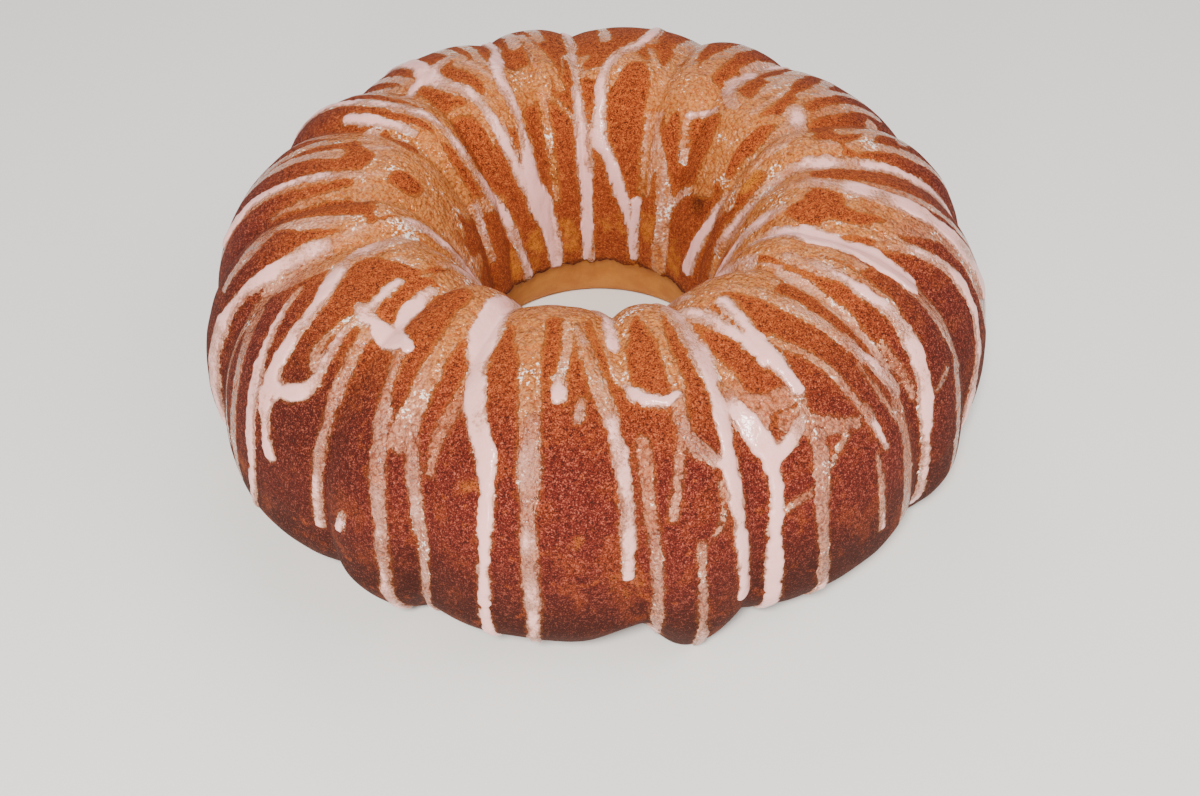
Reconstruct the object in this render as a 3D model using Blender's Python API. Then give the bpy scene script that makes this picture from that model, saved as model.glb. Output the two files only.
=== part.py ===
# Bundt cake with poured icing: one solid ring with a hole through it, deep flutes all round,
# and the thick runs of icing fused onto its crust.
import math

import bmesh
import bpy
import numpy as np

# Main sizes in metres
CAKE_RADIUS = 0.127
CAKE_HEIGHT = 0.086
CREST_RADIUS = 0.0676
WIDEST_LEVEL = 0.0235
HOLE_RADIUS = 0.036
HOLE_CURVE_LEVEL = 0.027
CRUST_END_LEVEL = 0.0215
EDGE_RADIUS = 0.119
EDGE_LEVEL = 0.0055

# The pale wall under the crust inside the hole, and the flat ring that the cake rests on
PALE_LEDGE = 0.0016
PALE_RADIUS = 0.0405
REST_INNER_RADIUS = 0.0475
REST_OUTER_RADIUS = 0.100

# How full the rounded outer shoulder and the slope into the hole are (2 is a plain ellipse)
OUTER_FULLNESS = 2.35
INNER_FULLNESS = 1.9

# Flutes: eight wide and eight narrow lobes by turns, angles in degrees
PAIR_COUNT = 8
PAIR_ANGLE = 360.0 / PAIR_COUNT
WIDE_CENTRE = -9.5
WIDE_HALF_CROWN = 14.0
WIDE_HALF_FOOT = 16.0
LOBE_POWER = 2.4
LOBE_BLEND = 0.35
FOOT_SPREAD_SHARE = 0.4
FLUTE_DEPTH_FOOT = 0.0052
FLUTE_DEPTH = 0.0038
FLUTE_DEPTH_HOLE = 0.0012
FLUTE_FADE_START = 0.72

# Natural unevenness of a real cake
SWELL_RADIAL = 0.0009
SWELL_LEVEL = 0.0008
EDGE_EASE_LIMIT = 1.3

# Places where the bottom edge lifts off or touches down: angle, half width in degrees, level
EDGE_SPOTS = (
    (-101.0, 9.0, 0.0075),
    (-86.5, 4.5, 0.0110),
    (-77.0, 5.0, 0.0016),
    (-62.0, 8.0, 0.0068),
    (-28.0, 12.0, 0.0035),
    (20.0, 14.0, 0.0085),
    (74.0, 7.0, 0.0020),
    (128.0, 12.0, 0.0080),
)

# Mesh steps: columns within a wide and a narrow lobe, rows over the crust, and the lift that
# keeps the middle of the flat faces on the true surface
WIDE_STEPS = (-1.0, -0.75, -0.35, 0.0, 0.35, 0.75)
NARROW_STEPS = (-1.0, -0.5, 0.0, 0.5)
CRUST_ROWS = 22
FACET_LIFT = 0.0003
PROFILE_SAMPLES = 300
LOW_SAMPLES = 40
NORMAL_PROBE = 0.0005

# The underside between the flat ring and the outer edge: how far out and how high its bend is
UNDERSIDE_REACH = 0.62
UNDERSIDE_RISE = 0.35

# Icing: height above the crust, how deep it is set in, the shares of its width at its buried
# base and at its top, the step along it, and the share of its width at its ends
ICING_HEIGHT = 0.0013
ICING_SINK = 0.0042
ICING_BASE_SHARE = 1.15
ICING_TOP_SHARE = 0.70
ICING_STEP = 0.0100
ICING_TIP_SHARE = 0.55
BEND_EASE = 0.006
EASE_SAMPLES = 9
MIN_RUN_POINTS = 3
SLIVER_SIZE = 0.00002

# Runs of icing: the points that each passes, as angle in degrees, share of the way over the crust
# from 0 at the outer bottom edge to 1 at the end of the crust in the hole, and width in millimetres
RUNS = (
    ((-160.5, 0.52, 6.0), (-161.3, 0.44, 6.0), (-162.0, 0.35, 5.0), (-162.5, 0.28, 7.0),
     (-161.5, 0.02, 4.5)),
    ((-156.0, 0.66, 9.0), (-154.0, 0.58, 9.0), (-151.0, 0.52, 7.0), (-147.0, 0.49, 6.0),
     (-145.0, 0.46, 4.5), (-144.5, 0.40, 4.5), (-143.2, 0.33, 8.0), (-141.0, 0.27, 4.5),
     (-139.0, 0.235, 4.8)),
    ((-152.0, 0.455, 2.5), (-149.3, 0.40, 3.5), (-147.0, 0.345, 4.5), (-145.2, 0.295, 6.0),
     (-143.9, 0.24, 4.6), (-142.6, 0.19, 4.6), (-144.0, 0.09, 3.6)),
    ((-138.8, 0.502, 4.0), (-136.0, 0.493, 6.5), (-131.0, 0.497, 8.0), (-125.5, 0.488, 4.5)),
    ((-132.2, 0.60, 3.5), (-132.3, 0.57, 4.5), (-129.5, 0.50, 5.0)),
    ((-138.4, 0.57, 3.5), (-137.8, 0.53, 3.5), (-137.0, 0.50, 4.0)),
    ((-137.5, 0.49, 3.0), (-137.3, 0.44, 2.8), (-136.0, 0.395, 4.0), (-135.7, 0.36, 4.5),
     (-138.0, 0.343, 4.5), (-141.5, 0.33, 5.5)),
    ((-134.3, 0.49, 4.0), (-132.6, 0.42, 3.4), (-131.6, 0.34, 3.6), (-130.7, 0.15, 3.6)),
    ((-124.8, 0.218, 2.8), (-125.6, 0.192, 3.6)),
    ((-126.0, 0.485, 3.0), (-124.0, 0.43, 4.0), (-121.6, 0.365, 5.5), (-120.3, 0.31, 5.0),
     (-119.2, 0.25, 4.4), (-118.6, 0.01, 3.6)),
    ((-117.6, 0.385, 5.0), (-115.8, 0.33, 4.0), (-114.6, 0.27, 3.6), (-113.5, 0.19, 4.0),
     (-113.9, 0.01, 3.5)),
    ((-115.2, 0.67, 7.0), (-114.8, 0.60, 9.0), (-113.0, 0.53, 8.0), (-110.6, 0.47, 6.5),
     (-109.0, 0.425, 7.5), (-106.3, 0.395, 6.0), (-105.0, 0.35, 4.8), (-104.8, 0.27, 4.4),
     (-104.7, 0.18, 3.6), (-104.3, 0.01, 3.2)),
    ((-100.0, 0.43, 4.5), (-99.4, 0.37, 6.5), (-99.0, 0.30, 5.0), (-98.7, 0.22, 4.6), (-98.7, 0.00, 3.8)),
    ((-96.4, 0.497, 4.2), (-96.0, 0.47, 4.8)),
    ((-92.8, 0.465, 3.2), (-93.2, 0.44, 3.6)),
    ((-94.5, 0.60, 3.5), (-92.0, 0.55, 4.0), (-89.3, 0.49, 5.0), (-87.6, 0.43, 5.5), (-86.8, 0.37, 5.0),
     (-86.3, 0.28, 4.0), (-86.4, 0.20, 4.8)),
    ((-87.2, 0.67, 5.0), (-87.0, 0.61, 5.5), (-86.6, 0.565, 4.0)),
    ((-85.2, 0.495, 3.0), (-83.6, 0.472, 4.6), (-80.5, 0.455, 4.0), (-77.2, 0.462, 4.6)),
    ((-76.8, 0.46, 3.6), (-77.8, 0.41, 5.0), (-76.0, 0.385, 4.0), (-71.5, 0.35, 3.2)),
    ((-83.0, 0.27, 3.0), (-82.9, 0.17, 3.4), (-82.8, 0.00, 3.6)),
    ((-77.5, 0.25, 2.4), (-77.2, 0.15, 3.0), (-76.6, 0.00, 3.4)),
    ((-70.6, 0.67, 7.0), (-70.3, 0.57, 7.0), (-70.2, 0.49, 6.5), (-70.9, 0.43, 6.0), (-71.7, 0.36, 5.0),
     (-71.8, 0.28, 4.6), (-71.5, 0.19, 4.6), (-71.4, 0.125, 5.0)),
    ((-69.5, 0.47, 5.0), (-68.2, 0.42, 7.0), (-66.2, 0.375, 6.5), (-65.6, 0.32, 4.6), (-66.2, 0.26, 4.4),
     (-67.0, 0.20, 5.0), (-67.1, 0.13, 5.0), (-66.7, 0.00, 4.4)),
    ((-68.0, 0.63, 5.0), (-65.3, 0.595, 5.0), (-62.8, 0.56, 4.6), (-60.8, 0.52, 5.0), (-59.6, 0.48, 5.0)),
    ((-58.7, 0.595, 4.8), (-58.7, 0.55, 4.6), (-59.4, 0.505, 6.0), (-58.9, 0.46, 5.0), (-58.3, 0.42, 4.2)),
    ((-58.6, 0.40, 3.6), (-60.0, 0.372, 5.0), (-64.8, 0.345, 3.8)),
    ((-58.4, 0.35, 5.0), (-59.4, 0.29, 4.6), (-60.4, 0.22, 4.2), (-60.3, 0.13, 4.0), (-59.0, 0.01, 4.4)),
    ((-49.4, 0.345, 3.4), (-48.8, 0.31, 3.4), (-48.2, 0.275, 2.4)),
    ((-50.3, 0.27, 2.4), (-50.4, 0.21, 2.6), (-49.9, 0.14, 3.4)),
    ((-53.5, 0.61, 5.0), (-50.5, 0.58, 5.5), (-47.8, 0.53, 5.5), (-46.6, 0.485, 4.6), (-45.2, 0.44, 5.0),
     (-43.6, 0.39, 6.0), (-41.6, 0.33, 5.4)),
    ((-36.2, 0.60, 4.0), (-35.2, 0.53, 4.4), (-34.8, 0.46, 4.8), (-34.2, 0.41, 6.0), (-35.5, 0.36, 5.6),
     (-36.8, 0.30, 5.4), (-38.3, 0.24, 4.6), (-38.6, 0.18, 3.4), (-38.2, 0.01, 3.6)),
    ((-25.5, 0.68, 10.0), (-25.2, 0.61, 12.0), (-24.4, 0.54, 9.5), (-24.6, 0.47, 9.0), (-25.0, 0.425, 9.5)),
    ((-18.7, 0.475, 5.0), (-17.0, 0.42, 3.6), (-15.8, 0.35, 4.6), (-16.5, 0.28, 4.4), (-18.2, 0.22, 5.0),
     (-20.7, 0.16, 5.2), (-22.0, 0.01, 4.6)),
    ((-4.5, 0.645, 5.0), (-5.0, 0.60, 7.0), (-6.0, 0.555, 6.0), (-7.4, 0.50, 10.0), (-7.5, 0.44, 8.0),
     (-8.5, 0.36, 8.0), (-9.5, 0.26, 7.0)),
    ((7.0, 0.85, 3.0), (6.0, 0.79, 3.0), (4.6, 0.71, 3.8), (5.4, 0.65, 4.8), (5.2, 0.58, 5.0),
     (5.4, 0.46, 3.6), (4.5, 0.25, 4.5)),
    ((21.5, 0.775, 4.2), (24.2, 0.845, 4.0), (27.2, 0.90, 4.8), (29.6, 0.945, 5.0)),
    ((18.0, 0.78, 7.0), (18.0, 0.71, 9.0), (17.5, 0.65, 10.0), (20.5, 0.60, 12.0), (28.0, 0.565, 8.0)),
    ((40.0, 0.635, 4.0), (45.0, 0.635, 6.0), (48.3, 0.61, 7.0), (49.0, 0.56, 6.0), (48.3, 0.48, 5.0),
     (48.8, 0.22, 4.6)),
    ((46.5, 0.658, 3.6), (49.5, 0.672, 4.0), (53.8, 0.69, 2.8)),
    ((68.0, 0.985, 3.4), (68.6, 0.93, 4.6), (68.8, 0.865, 3.0)),
    ((69.5, 0.925, 4.0), (74.0, 0.88, 4.0), (79.5, 0.825, 4.6), (83.5, 0.775, 4.8), (87.0, 0.762, 5.6)),
    ((94.0, 0.765, 3.6), (87.5, 0.765, 6.0), (86.6, 0.70, 5.0), (86.3, 0.64, 4.8), (84.0, 0.60, 5.5),
     (80.0, 0.57, 4.6), (77.5, 0.545, 4.4), (76.0, 0.49, 4.2), (76.0, 0.16, 4.2)),
    ((93.0, 0.99, 4.4), (94.0, 0.92, 4.8), (93.8, 0.84, 5.4), (94.0, 0.77, 5.6), (94.6, 0.69, 4.0),
     (95.2, 0.57, 3.8), (95.4, 0.48, 4.2), (94.8, 0.20, 4.2)),
    ((112.0, 1.00, 5.5), (113.5, 0.93, 6.5), (116.5, 0.87, 8.0), (121.0, 0.82, 8.0), (118.3, 0.75, 4.4),
     (118.8, 0.69, 4.4), (119.2, 0.63, 6.2), (118.0, 0.595, 5.8), (115.0, 0.565, 4.8), (112.5, 0.51, 4.2),
     (109.5, 0.22, 4.4)),
    ((123.5, 0.81, 6.0), (126.2, 0.76, 4.6), (127.6, 0.69, 4.4), (130.5, 0.625, 5.2), (133.2, 0.57, 7.0),
     (132.8, 0.53, 8.0), (130.0, 0.48, 5.4), (128.5, 0.20, 4.8)),
    ((124.8, 0.515, 4.6), (129.0, 0.522, 5.0), (136.0, 0.528, 5.6), (140.5, 0.538, 4.6)),
    ((130.8, 0.99, 4.0), (133.5, 0.93, 3.8), (136.2, 0.87, 4.0), (140.0, 0.82, 4.2), (145.0, 0.775, 5.6),
     (146.6, 0.72, 4.4), (147.2, 0.62, 5.4), (147.8, 0.54, 4.6), (149.5, 0.28, 4.6)),
    ((154.3, 0.905, 2.8), (154.8, 0.84, 2.4), (154.0, 0.795, 3.4)),
    ((154.2, 0.63, 3.0), (154.0, 0.56, 4.0), (153.8, 0.49, 4.8)),
    ((176.6, 0.575, 3.4), (176.2, 0.50, 3.8), (177.0, 0.28, 4.4)),
)

# The front inside of the hole has a few evenly spread runs, each leaning to one side by a wave
HIDDEN_RUN_COUNT = 7
HIDDEN_FIRST = -164.0
HIDDEN_SPACING = 25.0
HIDDEN_TOP = 0.66
HIDDEN_MIDDLE = 0.80
HIDDEN_FOOT = 0.93
HIDDEN_FOOT_SPREAD = 0.06
HIDDEN_LEAN = 2.0
HIDDEN_TOP_WIDTH = 5.7
HIDDEN_WIDTH = 4.2


def clear_scene():
    for thing in list(bpy.data.objects):
        bpy.data.objects.remove(thing, do_unlink=True)


# The profile of the crust, from the outer bottom edge over the crown to the end in the hole
def crust_profile():
    turn = np.linspace(0.0, math.pi / 2, PROFILE_SAMPLES)
    low = np.linspace(0.0, 1.0, LOW_SAMPLES)
    cos = np.clip(np.cos(turn), 0.0, 1.0)
    sin = np.sin(turn)
    low_r = EDGE_RADIUS + (CAKE_RADIUS - EDGE_RADIUS) * np.sin(low * math.pi / 2)
    low_z = EDGE_LEVEL + (WIDEST_LEVEL - EDGE_LEVEL) * low
    out_r = CREST_RADIUS + (CAKE_RADIUS - CREST_RADIUS) * cos ** (2 / OUTER_FULLNESS)
    out_z = WIDEST_LEVEL + (CAKE_HEIGHT - WIDEST_LEVEL) * sin ** (2 / OUTER_FULLNESS)
    in_r = CREST_RADIUS - (CREST_RADIUS - HOLE_RADIUS) * cos ** (2 / INNER_FULLNESS)
    in_z = HOLE_CURVE_LEVEL + (CAKE_HEIGHT - HOLE_CURVE_LEVEL) * sin ** (2 / INNER_FULLNESS)
    r = np.concatenate([low_r[:-1], out_r, in_r[::-1][1:], [HOLE_RADIUS]])
    z = np.concatenate([low_z[:-1], out_z, in_z[::-1][1:], [CRUST_END_LEVEL]])
    length = np.concatenate([[0.0], np.cumsum(np.hypot(np.diff(r), np.diff(z)))])
    return r, z, length


PROFILE_R, PROFILE_Z, PROFILE_LENGTH = crust_profile()
CRUST_LENGTH = PROFILE_LENGTH[-1]


def radius_at(share):
    return np.interp(share * CRUST_LENGTH, PROFILE_LENGTH, PROFILE_R)


def wide_half(share):
    spread = np.clip(1.0 - share / FOOT_SPREAD_SHARE, 0.0, 1.0)
    return WIDE_HALF_CROWN + (WIDE_HALF_FOOT - WIDE_HALF_CROWN) * spread


# How far out a place lies between the bottom of a crease (0) and the top of a lobe (1)
def lobe_height(angle, share):
    offset = np.abs((angle - WIDE_CENTRE + PAIR_ANGLE / 2) % PAIR_ANGLE - PAIR_ANGLE / 2)
    half = wide_half(share)
    wide = 1.0 - (offset / half) ** LOBE_POWER
    narrow = 1.0 - ((PAIR_ANGLE / 2 - offset) / (PAIR_ANGLE / 2 - half)) ** LOBE_POWER
    mix = np.clip(0.5 + 0.5 * (wide - narrow) / LOBE_BLEND, 0.0, 1.0)
    return narrow + (wide - narrow) * mix + LOBE_BLEND * mix * (1.0 - mix)


def flute_depth(share):
    foot = np.clip(1.0 - share / FOOT_SPREAD_SHARE, 0.0, 1.0)
    fade = np.clip((share - FLUTE_FADE_START) / (1.0 - FLUTE_FADE_START), 0.0, 1.0)
    depth = FLUTE_DEPTH + (FLUTE_DEPTH_FOOT - FLUTE_DEPTH) * foot
    return depth + (FLUTE_DEPTH_HOLE - FLUTE_DEPTH) * fade


def swell_out(angle):
    turn = np.radians(angle)
    return SWELL_RADIAL * (0.6 * np.sin(2 * turn + 0.7) + 0.4 * np.sin(5 * turn + 2.1))


def swell_up(angle):
    turn = np.radians(angle)
    return SWELL_LEVEL * (0.6 * np.sin(3 * turn + 1.9) + 0.4 * np.sin(7 * turn + 0.4) - 1.0)


def edge_level(angle):
    level = EDGE_LEVEL + 0.0 * angle
    for centre, half, height in EDGE_SPOTS:
        away = np.abs((angle - centre + 180.0) % 360.0 - 180.0) / half
        weight = np.exp(-away ** 2)
        level = level + (height - level) * weight
    return level


# A place on the crust, moved out of it by a lift, as an array of x, y, z
def crust_place(angle, share, lift):
    angle = np.asarray(angle, dtype=float)
    share = np.clip(np.asarray(share, dtype=float), 0.0, 1.0)
    along = share * CRUST_LENGTH
    ahead = along + NORMAL_PROBE
    behind = along - NORMAL_PROBE
    r = np.interp(along, PROFILE_LENGTH, PROFILE_R)
    z = np.interp(along, PROFILE_LENGTH, PROFILE_Z)
    step_r = np.interp(ahead, PROFILE_LENGTH, PROFILE_R) - np.interp(behind, PROFILE_LENGTH, PROFILE_R)
    step_z = np.interp(ahead, PROFILE_LENGTH, PROFILE_Z) - np.interp(behind, PROFILE_LENGTH, PROFILE_Z)
    size = np.hypot(step_r, step_z)
    out = lift - flute_depth(share) * (1.0 - lobe_height(angle, share))
    r = r + out * step_z / size
    z = z - out * step_r / size
    above = np.clip(z / CAKE_HEIGHT, 0.0, 1.0)
    near_edge = np.clip((WIDEST_LEVEL - z) / (WIDEST_LEVEL - EDGE_LEVEL), 0.0, EDGE_EASE_LIMIT)
    near_edge = near_edge * (share < 0.5)
    z = z + swell_up(angle) * above + (edge_level(angle) - EDGE_LEVEL) * near_edge
    r = r + swell_out(angle) * np.clip(1.0 - share, 0.0, 1.0)
    turn = np.radians(angle)
    return np.stack([r * np.cos(turn), r * np.sin(turn), z], axis=-1)


# Column angles follow the creases, which lean a little towards the foot
def column_angles(share):
    half = float(wide_half(share))
    narrow_half = PAIR_ANGLE / 2 - half
    angles = []
    for pair in range(PAIR_COUNT):
        centre = WIDE_CENTRE + pair * PAIR_ANGLE
        angles.extend(centre + step * half for step in WIDE_STEPS)
        centre = centre + PAIR_ANGLE / 2
        angles.extend(centre + step * narrow_half for step in NARROW_STEPS)
    return np.array(angles)


def ring_at(angles, radius, level):
    turn = np.radians(angles)
    return np.stack([radius * np.cos(turn), radius * np.sin(turn), level + 0.0 * turn], axis=-1)


# The cake itself: rings over the crust, then the pale wall in the hole and the underside
def make_cake():
    shares = np.linspace(0.0, 1.0, CRUST_ROWS)
    rings = [crust_place(column_angles(share), share, FACET_LIFT) for share in shares]
    crown = column_angles(1.0)
    rings.append(ring_at(crown, HOLE_RADIUS + PALE_LEDGE, CRUST_END_LEVEL - PALE_LEDGE))
    rings.append(ring_at(crown, PALE_RADIUS, CRUST_END_LEVEL / 2))
    rings.append(ring_at(crown, REST_INNER_RADIUS, 0.0))
    foot = column_angles(0.0)
    rings.append(ring_at(foot, REST_OUTER_RADIUS, 0.0))
    edge = rings[0]
    edge_r = np.hypot(edge[:, 0], edge[:, 1])
    middle_r = REST_OUTER_RADIUS + (edge_r - REST_OUTER_RADIUS) * UNDERSIDE_REACH
    rings.append(ring_at(foot, middle_r, edge[:, 2] * UNDERSIDE_RISE))
    rings = np.array(rings)
    ring_count, column_count = rings.shape[:2]
    faces = []
    for i in range(ring_count):
        after = (i + 1) % ring_count
        for j in range(column_count):
            beside = (j + 1) % column_count
            faces.append((i * column_count + j, i * column_count + beside,
                          after * column_count + beside, after * column_count + j))
    return make_object("cake", rings.reshape(-1, 3), faces)


def make_object(name, points, faces):
    mesh = bpy.data.meshes.new(name)
    mesh.from_pydata([tuple(p) for p in points], [], faces)
    work = bmesh.new()
    work.from_mesh(mesh)
    bmesh.ops.recalc_face_normals(work, faces=work.faces)
    work.to_mesh(mesh)
    work.free()
    mesh.update()
    thing = bpy.data.objects.new(name, mesh)
    bpy.context.scene.collection.objects.link(thing)
    return thing


# Path of a run by even steps: straight legs, eased at the bends by a mean over a short stretch
def run_path(run):
    angle, share, width = np.array(run).T
    radius = radius_at(share)
    middle = (radius[:-1] + radius[1:]) / 2
    leg = np.hypot(np.radians(np.diff(angle)) * middle, np.diff(share) * CRUST_LENGTH)
    reach = np.concatenate([[0.0], np.cumsum(leg)])
    count = max(MIN_RUN_POINTS, int(round(reach[-1] / ICING_STEP)) + 1)
    along = np.linspace(0.0, reach[-1], count)
    ease = np.minimum(BEND_EASE, np.minimum(along, reach[-1] - along))
    places = [along + shift * ease for shift in np.linspace(-1.0, 1.0, EASE_SAMPLES)]
    path_angle = sum(np.interp(place, reach, angle) for place in places) / EASE_SAMPLES
    path_share = sum(np.interp(place, reach, share) for place in places) / EASE_SAMPLES
    path_width = sum(np.interp(place, reach, width) for place in places) / EASE_SAMPLES
    return path_angle, path_share, path_width / 1000


# One bead of icing: four-cornered sections that follow the crust, with a blunt tip at each end
def make_bead(run):
    angle, share, width = run_path(run)
    radius = radius_at(share)
    step_x = np.gradient(np.radians(angle)) * radius
    step_y = np.gradient(share) * CRUST_LENGTH
    size = np.hypot(step_x, step_y)
    side_x = -step_y / size
    side_y = step_x / size
    taper = np.ones(len(angle))
    taper[[0, -1]] = ICING_TIP_SHARE
    half = width * taper / 2
    corners = []
    section = ((-ICING_BASE_SHARE, -ICING_SINK), (ICING_BASE_SHARE, -ICING_SINK),
               (ICING_TOP_SHARE, ICING_HEIGHT), (-ICING_TOP_SHARE, ICING_HEIGHT))
    for side, lift in section:
        corner_angle = angle + np.degrees(side * half * side_x / radius)
        corner_share = share + side * half * side_y / CRUST_LENGTH
        corners.append(crust_place(corner_angle, corner_share, lift))
    points = np.stack(corners, axis=1).reshape(-1, 3)
    faces = [(3, 2, 1, 0)]
    for i in range(len(angle) - 1):
        first = i * 4
        for k in range(4):
            after = (k + 1) % 4
            faces.append((first + k, first + after, first + 4 + after, first + 4 + k))
    last = (len(angle) - 1) * 4
    faces.append((last, last + 1, last + 2, last + 3))
    return make_object("bead", points, faces)


def hidden_runs():
    runs = []
    for k in range(HIDDEN_RUN_COUNT):
        angle = HIDDEN_FIRST + k * HIDDEN_SPACING
        leaning = angle + HIDDEN_LEAN * math.sin(1.7 * k)
        foot = HIDDEN_FOOT + HIDDEN_FOOT_SPREAD * math.sin(2.9 * k)
        runs.append(((angle, HIDDEN_TOP, HIDDEN_TOP_WIDTH), (leaning, HIDDEN_MIDDLE, HIDDEN_WIDTH),
                     (leaning, foot, HIDDEN_WIDTH)))
    return runs


# One Boolean union joins the beads to the cake
def fuse(cake, beads):
    holder = bpy.data.collections.new("beads")
    bpy.context.scene.collection.children.link(holder)
    for bead in beads:
        bpy.context.scene.collection.objects.unlink(bead)
        holder.objects.link(bead)
    union = cake.modifiers.new("union", "BOOLEAN")
    union.operation = "UNION"
    union.operand_type = "COLLECTION"
    union.collection = holder
    union.solver = "MANIFOLD"
    bpy.context.view_layer.update()
    bpy.context.view_layer.objects.active = cake
    cake.select_set(True)
    bpy.ops.object.modifier_apply(modifier=union.name)
    for bead in beads:
        bpy.data.objects.remove(bead, do_unlink=True)
    bpy.data.collections.remove(holder)


# Slivers left by the union are closed, and a hollow sealed under a bead is filled: only the
# outer shell is kept
def keep_outer_shell(thing):
    work = bmesh.new()
    work.from_mesh(thing.data)
    bmesh.ops.triangulate(work, faces=work.faces)
    bmesh.ops.remove_doubles(work, verts=work.verts, dist=SLIVER_SIZE)
    bmesh.ops.dissolve_degenerate(work, edges=work.edges, dist=SLIVER_SIZE)
    shells = []
    waiting = set(work.faces)
    while waiting:
        shell = []
        front = [waiting.pop()]
        while front:
            face = front.pop()
            shell.append(face)
            for edge in face.edges:
                for other in edge.link_faces:
                    if other in waiting:
                        waiting.remove(other)
                        front.append(other)
        shells.append(shell)
    shells.sort(key=len)
    inner = [face for shell in shells[:-1] for face in shell]
    bmesh.ops.delete(work, geom=inner, context="FACES")
    work.to_mesh(thing.data)
    work.free()


def crust_material():
    material = bpy.data.materials.new("baked_crust")
    material.use_nodes = True
    shader = material.node_tree.nodes["Principled BSDF"]
    shader.inputs["Base Color"].default_value = (0.30, 0.105, 0.035, 1.0)
    shader.inputs["Roughness"].default_value = 0.6
    return material


clear_scene()
cake = make_cake()
fuse(cake, [make_bead(run) for run in list(RUNS) + hidden_runs()])
keep_outer_shell(cake)
cake.name = "bundt_cake"
cake.data.name = "bundt_cake"
cake.data.materials.clear()
cake.data.materials.append(crust_material())
cake.data.shade_smooth()
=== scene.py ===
import math
from functools import partial

import bpy
import numpy as np
from mathutils import Matrix, Vector


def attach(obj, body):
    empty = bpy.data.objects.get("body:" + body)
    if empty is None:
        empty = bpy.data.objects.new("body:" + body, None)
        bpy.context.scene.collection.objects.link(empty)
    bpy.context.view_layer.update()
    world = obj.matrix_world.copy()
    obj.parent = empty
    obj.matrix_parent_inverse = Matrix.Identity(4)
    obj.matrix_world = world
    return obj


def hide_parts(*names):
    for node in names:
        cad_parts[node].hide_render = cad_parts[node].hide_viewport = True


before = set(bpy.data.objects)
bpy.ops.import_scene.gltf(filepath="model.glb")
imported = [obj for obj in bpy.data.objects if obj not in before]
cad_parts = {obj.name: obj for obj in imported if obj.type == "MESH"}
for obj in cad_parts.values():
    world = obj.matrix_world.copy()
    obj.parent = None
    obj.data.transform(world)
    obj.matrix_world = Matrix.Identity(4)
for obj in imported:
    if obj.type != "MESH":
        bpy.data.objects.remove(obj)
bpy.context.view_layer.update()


# Camera: it looks down at about 44 degrees from the front and is turned by one degree. Its place
# and angle were found from the outline of the cake and of its hole.
CAMERA_PLACE = Vector((0.0, -0.3680, 0.3518))
CAMERA_FORWARD = Vector((0.00173, 0.71203, -0.70215))
CAMERA_ROLL = math.radians(-0.99)
CAMERA_LENS = 43.9
SENSOR_WIDTH = 36.0


def aim(forward, roll):
    """A turned frame whose -Z axis is the forward direction, with its up axis turned by roll."""
    forward = forward.normalized()
    right = forward.cross(Vector((0.0, 0.0, 1.0))).normalized()
    up = right.cross(forward)
    turned_right = right * math.cos(roll) + up * math.sin(roll)
    turned_up = up * math.cos(roll) - right * math.sin(roll)
    return Matrix((turned_right, turned_up, -forward)).transposed().to_4x4()


camera_data = bpy.data.cameras.new("camera")
camera_data.lens = CAMERA_LENS
camera_data.sensor_width = SENSOR_WIDTH
camera = bpy.data.objects.new("camera", camera_data)
camera.matrix_world = Matrix.Translation(CAMERA_PLACE) @ aim(CAMERA_FORWARD, CAMERA_ROLL)
bpy.context.scene.collection.objects.link(camera)
bpy.context.scene.camera = camera


# Crust: the whole cake, butter cake batter baked in a fluted tube pan and turned out. Where it
# touched the pan it is browned, darkest on the outer wall, with a fine open crumb; towards its
# foot it is painted darker still for the shade that falls there. Inside the hole a pale smooth wall
# shows under the end of the crust, below a painted shadow line. Thin icing has soaked over it.

# Lengths are in metres and angles in degrees. A share is a part of the way over the crust, from 0
# at the outer bottom edge, over the crown at about 0.6, to 1 at the crust's end in the hole.
CAKE_RADIUS = 0.127
CAKE_HEIGHT = 0.086
CREST_RADIUS = 0.0676
WIDEST_LEVEL = 0.0235
HOLE_RADIUS = 0.036
HOLE_CURVE_LEVEL = 0.027
CRUST_END_LEVEL = 0.0215
EDGE_RADIUS = 0.119
EDGE_LEVEL = 0.0055
OUTER_FULLNESS = 2.35
INNER_FULLNESS = 1.9
ARC_STEPS = 300
FOOT_STEPS = 40
NORMAL_PROBE = 0.0005
PAIR_COUNT = 8
PAIR_ANGLE = 360.0 / PAIR_COUNT
WIDE_CENTRE = -9.5
WIDE_HALF_CROWN = 14.0
WIDE_HALF_FOOT = 16.0
LOBE_POWER = 2.4
LOBE_BLEND = 0.35
FOOT_SPREAD_SHARE = 0.4
FLUTE_DEPTH_FOOT = 0.0052
FLUTE_DEPTH = 0.0038
FLUTE_DEPTH_HOLE = 0.0012
FLUTE_FADE_START = 0.72
# Unevenness of the pan's form: sizes, then waves as a part, a count round the ring and a phase
SWELL_RADIAL = 0.0009
SWELL_LEVEL = 0.0008
RADIAL_WAVES = ((0.6, 2, 0.7), (0.4, 5, 2.1))
LEVEL_WAVES = ((0.6, 3, 1.9), (0.4, 7, 0.4))
# Spots of the bottom edge: angle, half width and level
EDGE_SPOTS = (
    (-101, 9, 0.0075), (-86.5, 4.5, 0.0110), (-77, 5, 0.0016), (-62, 8, 0.0068),
    (-28, 12, 0.0035), (20, 14, 0.0085), (74, 7, 0.0020), (128, 12, 0.0080),
)
EDGE_PULL_LIMIT = 1.3
# Random fields: size, count of values round the ring and over the crust, and seed
DENTS = ((0.00030, 40, 12, 11), (0.00015, 110, 32, 12))
DENTS_INWARD = 0.0002
RAGGED_END = ((0.0007, 70, 2, 41), (0.0004, 190, 2, 42))
CRUST_COLUMNS = 720
CRUST_ROWS = 128


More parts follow.
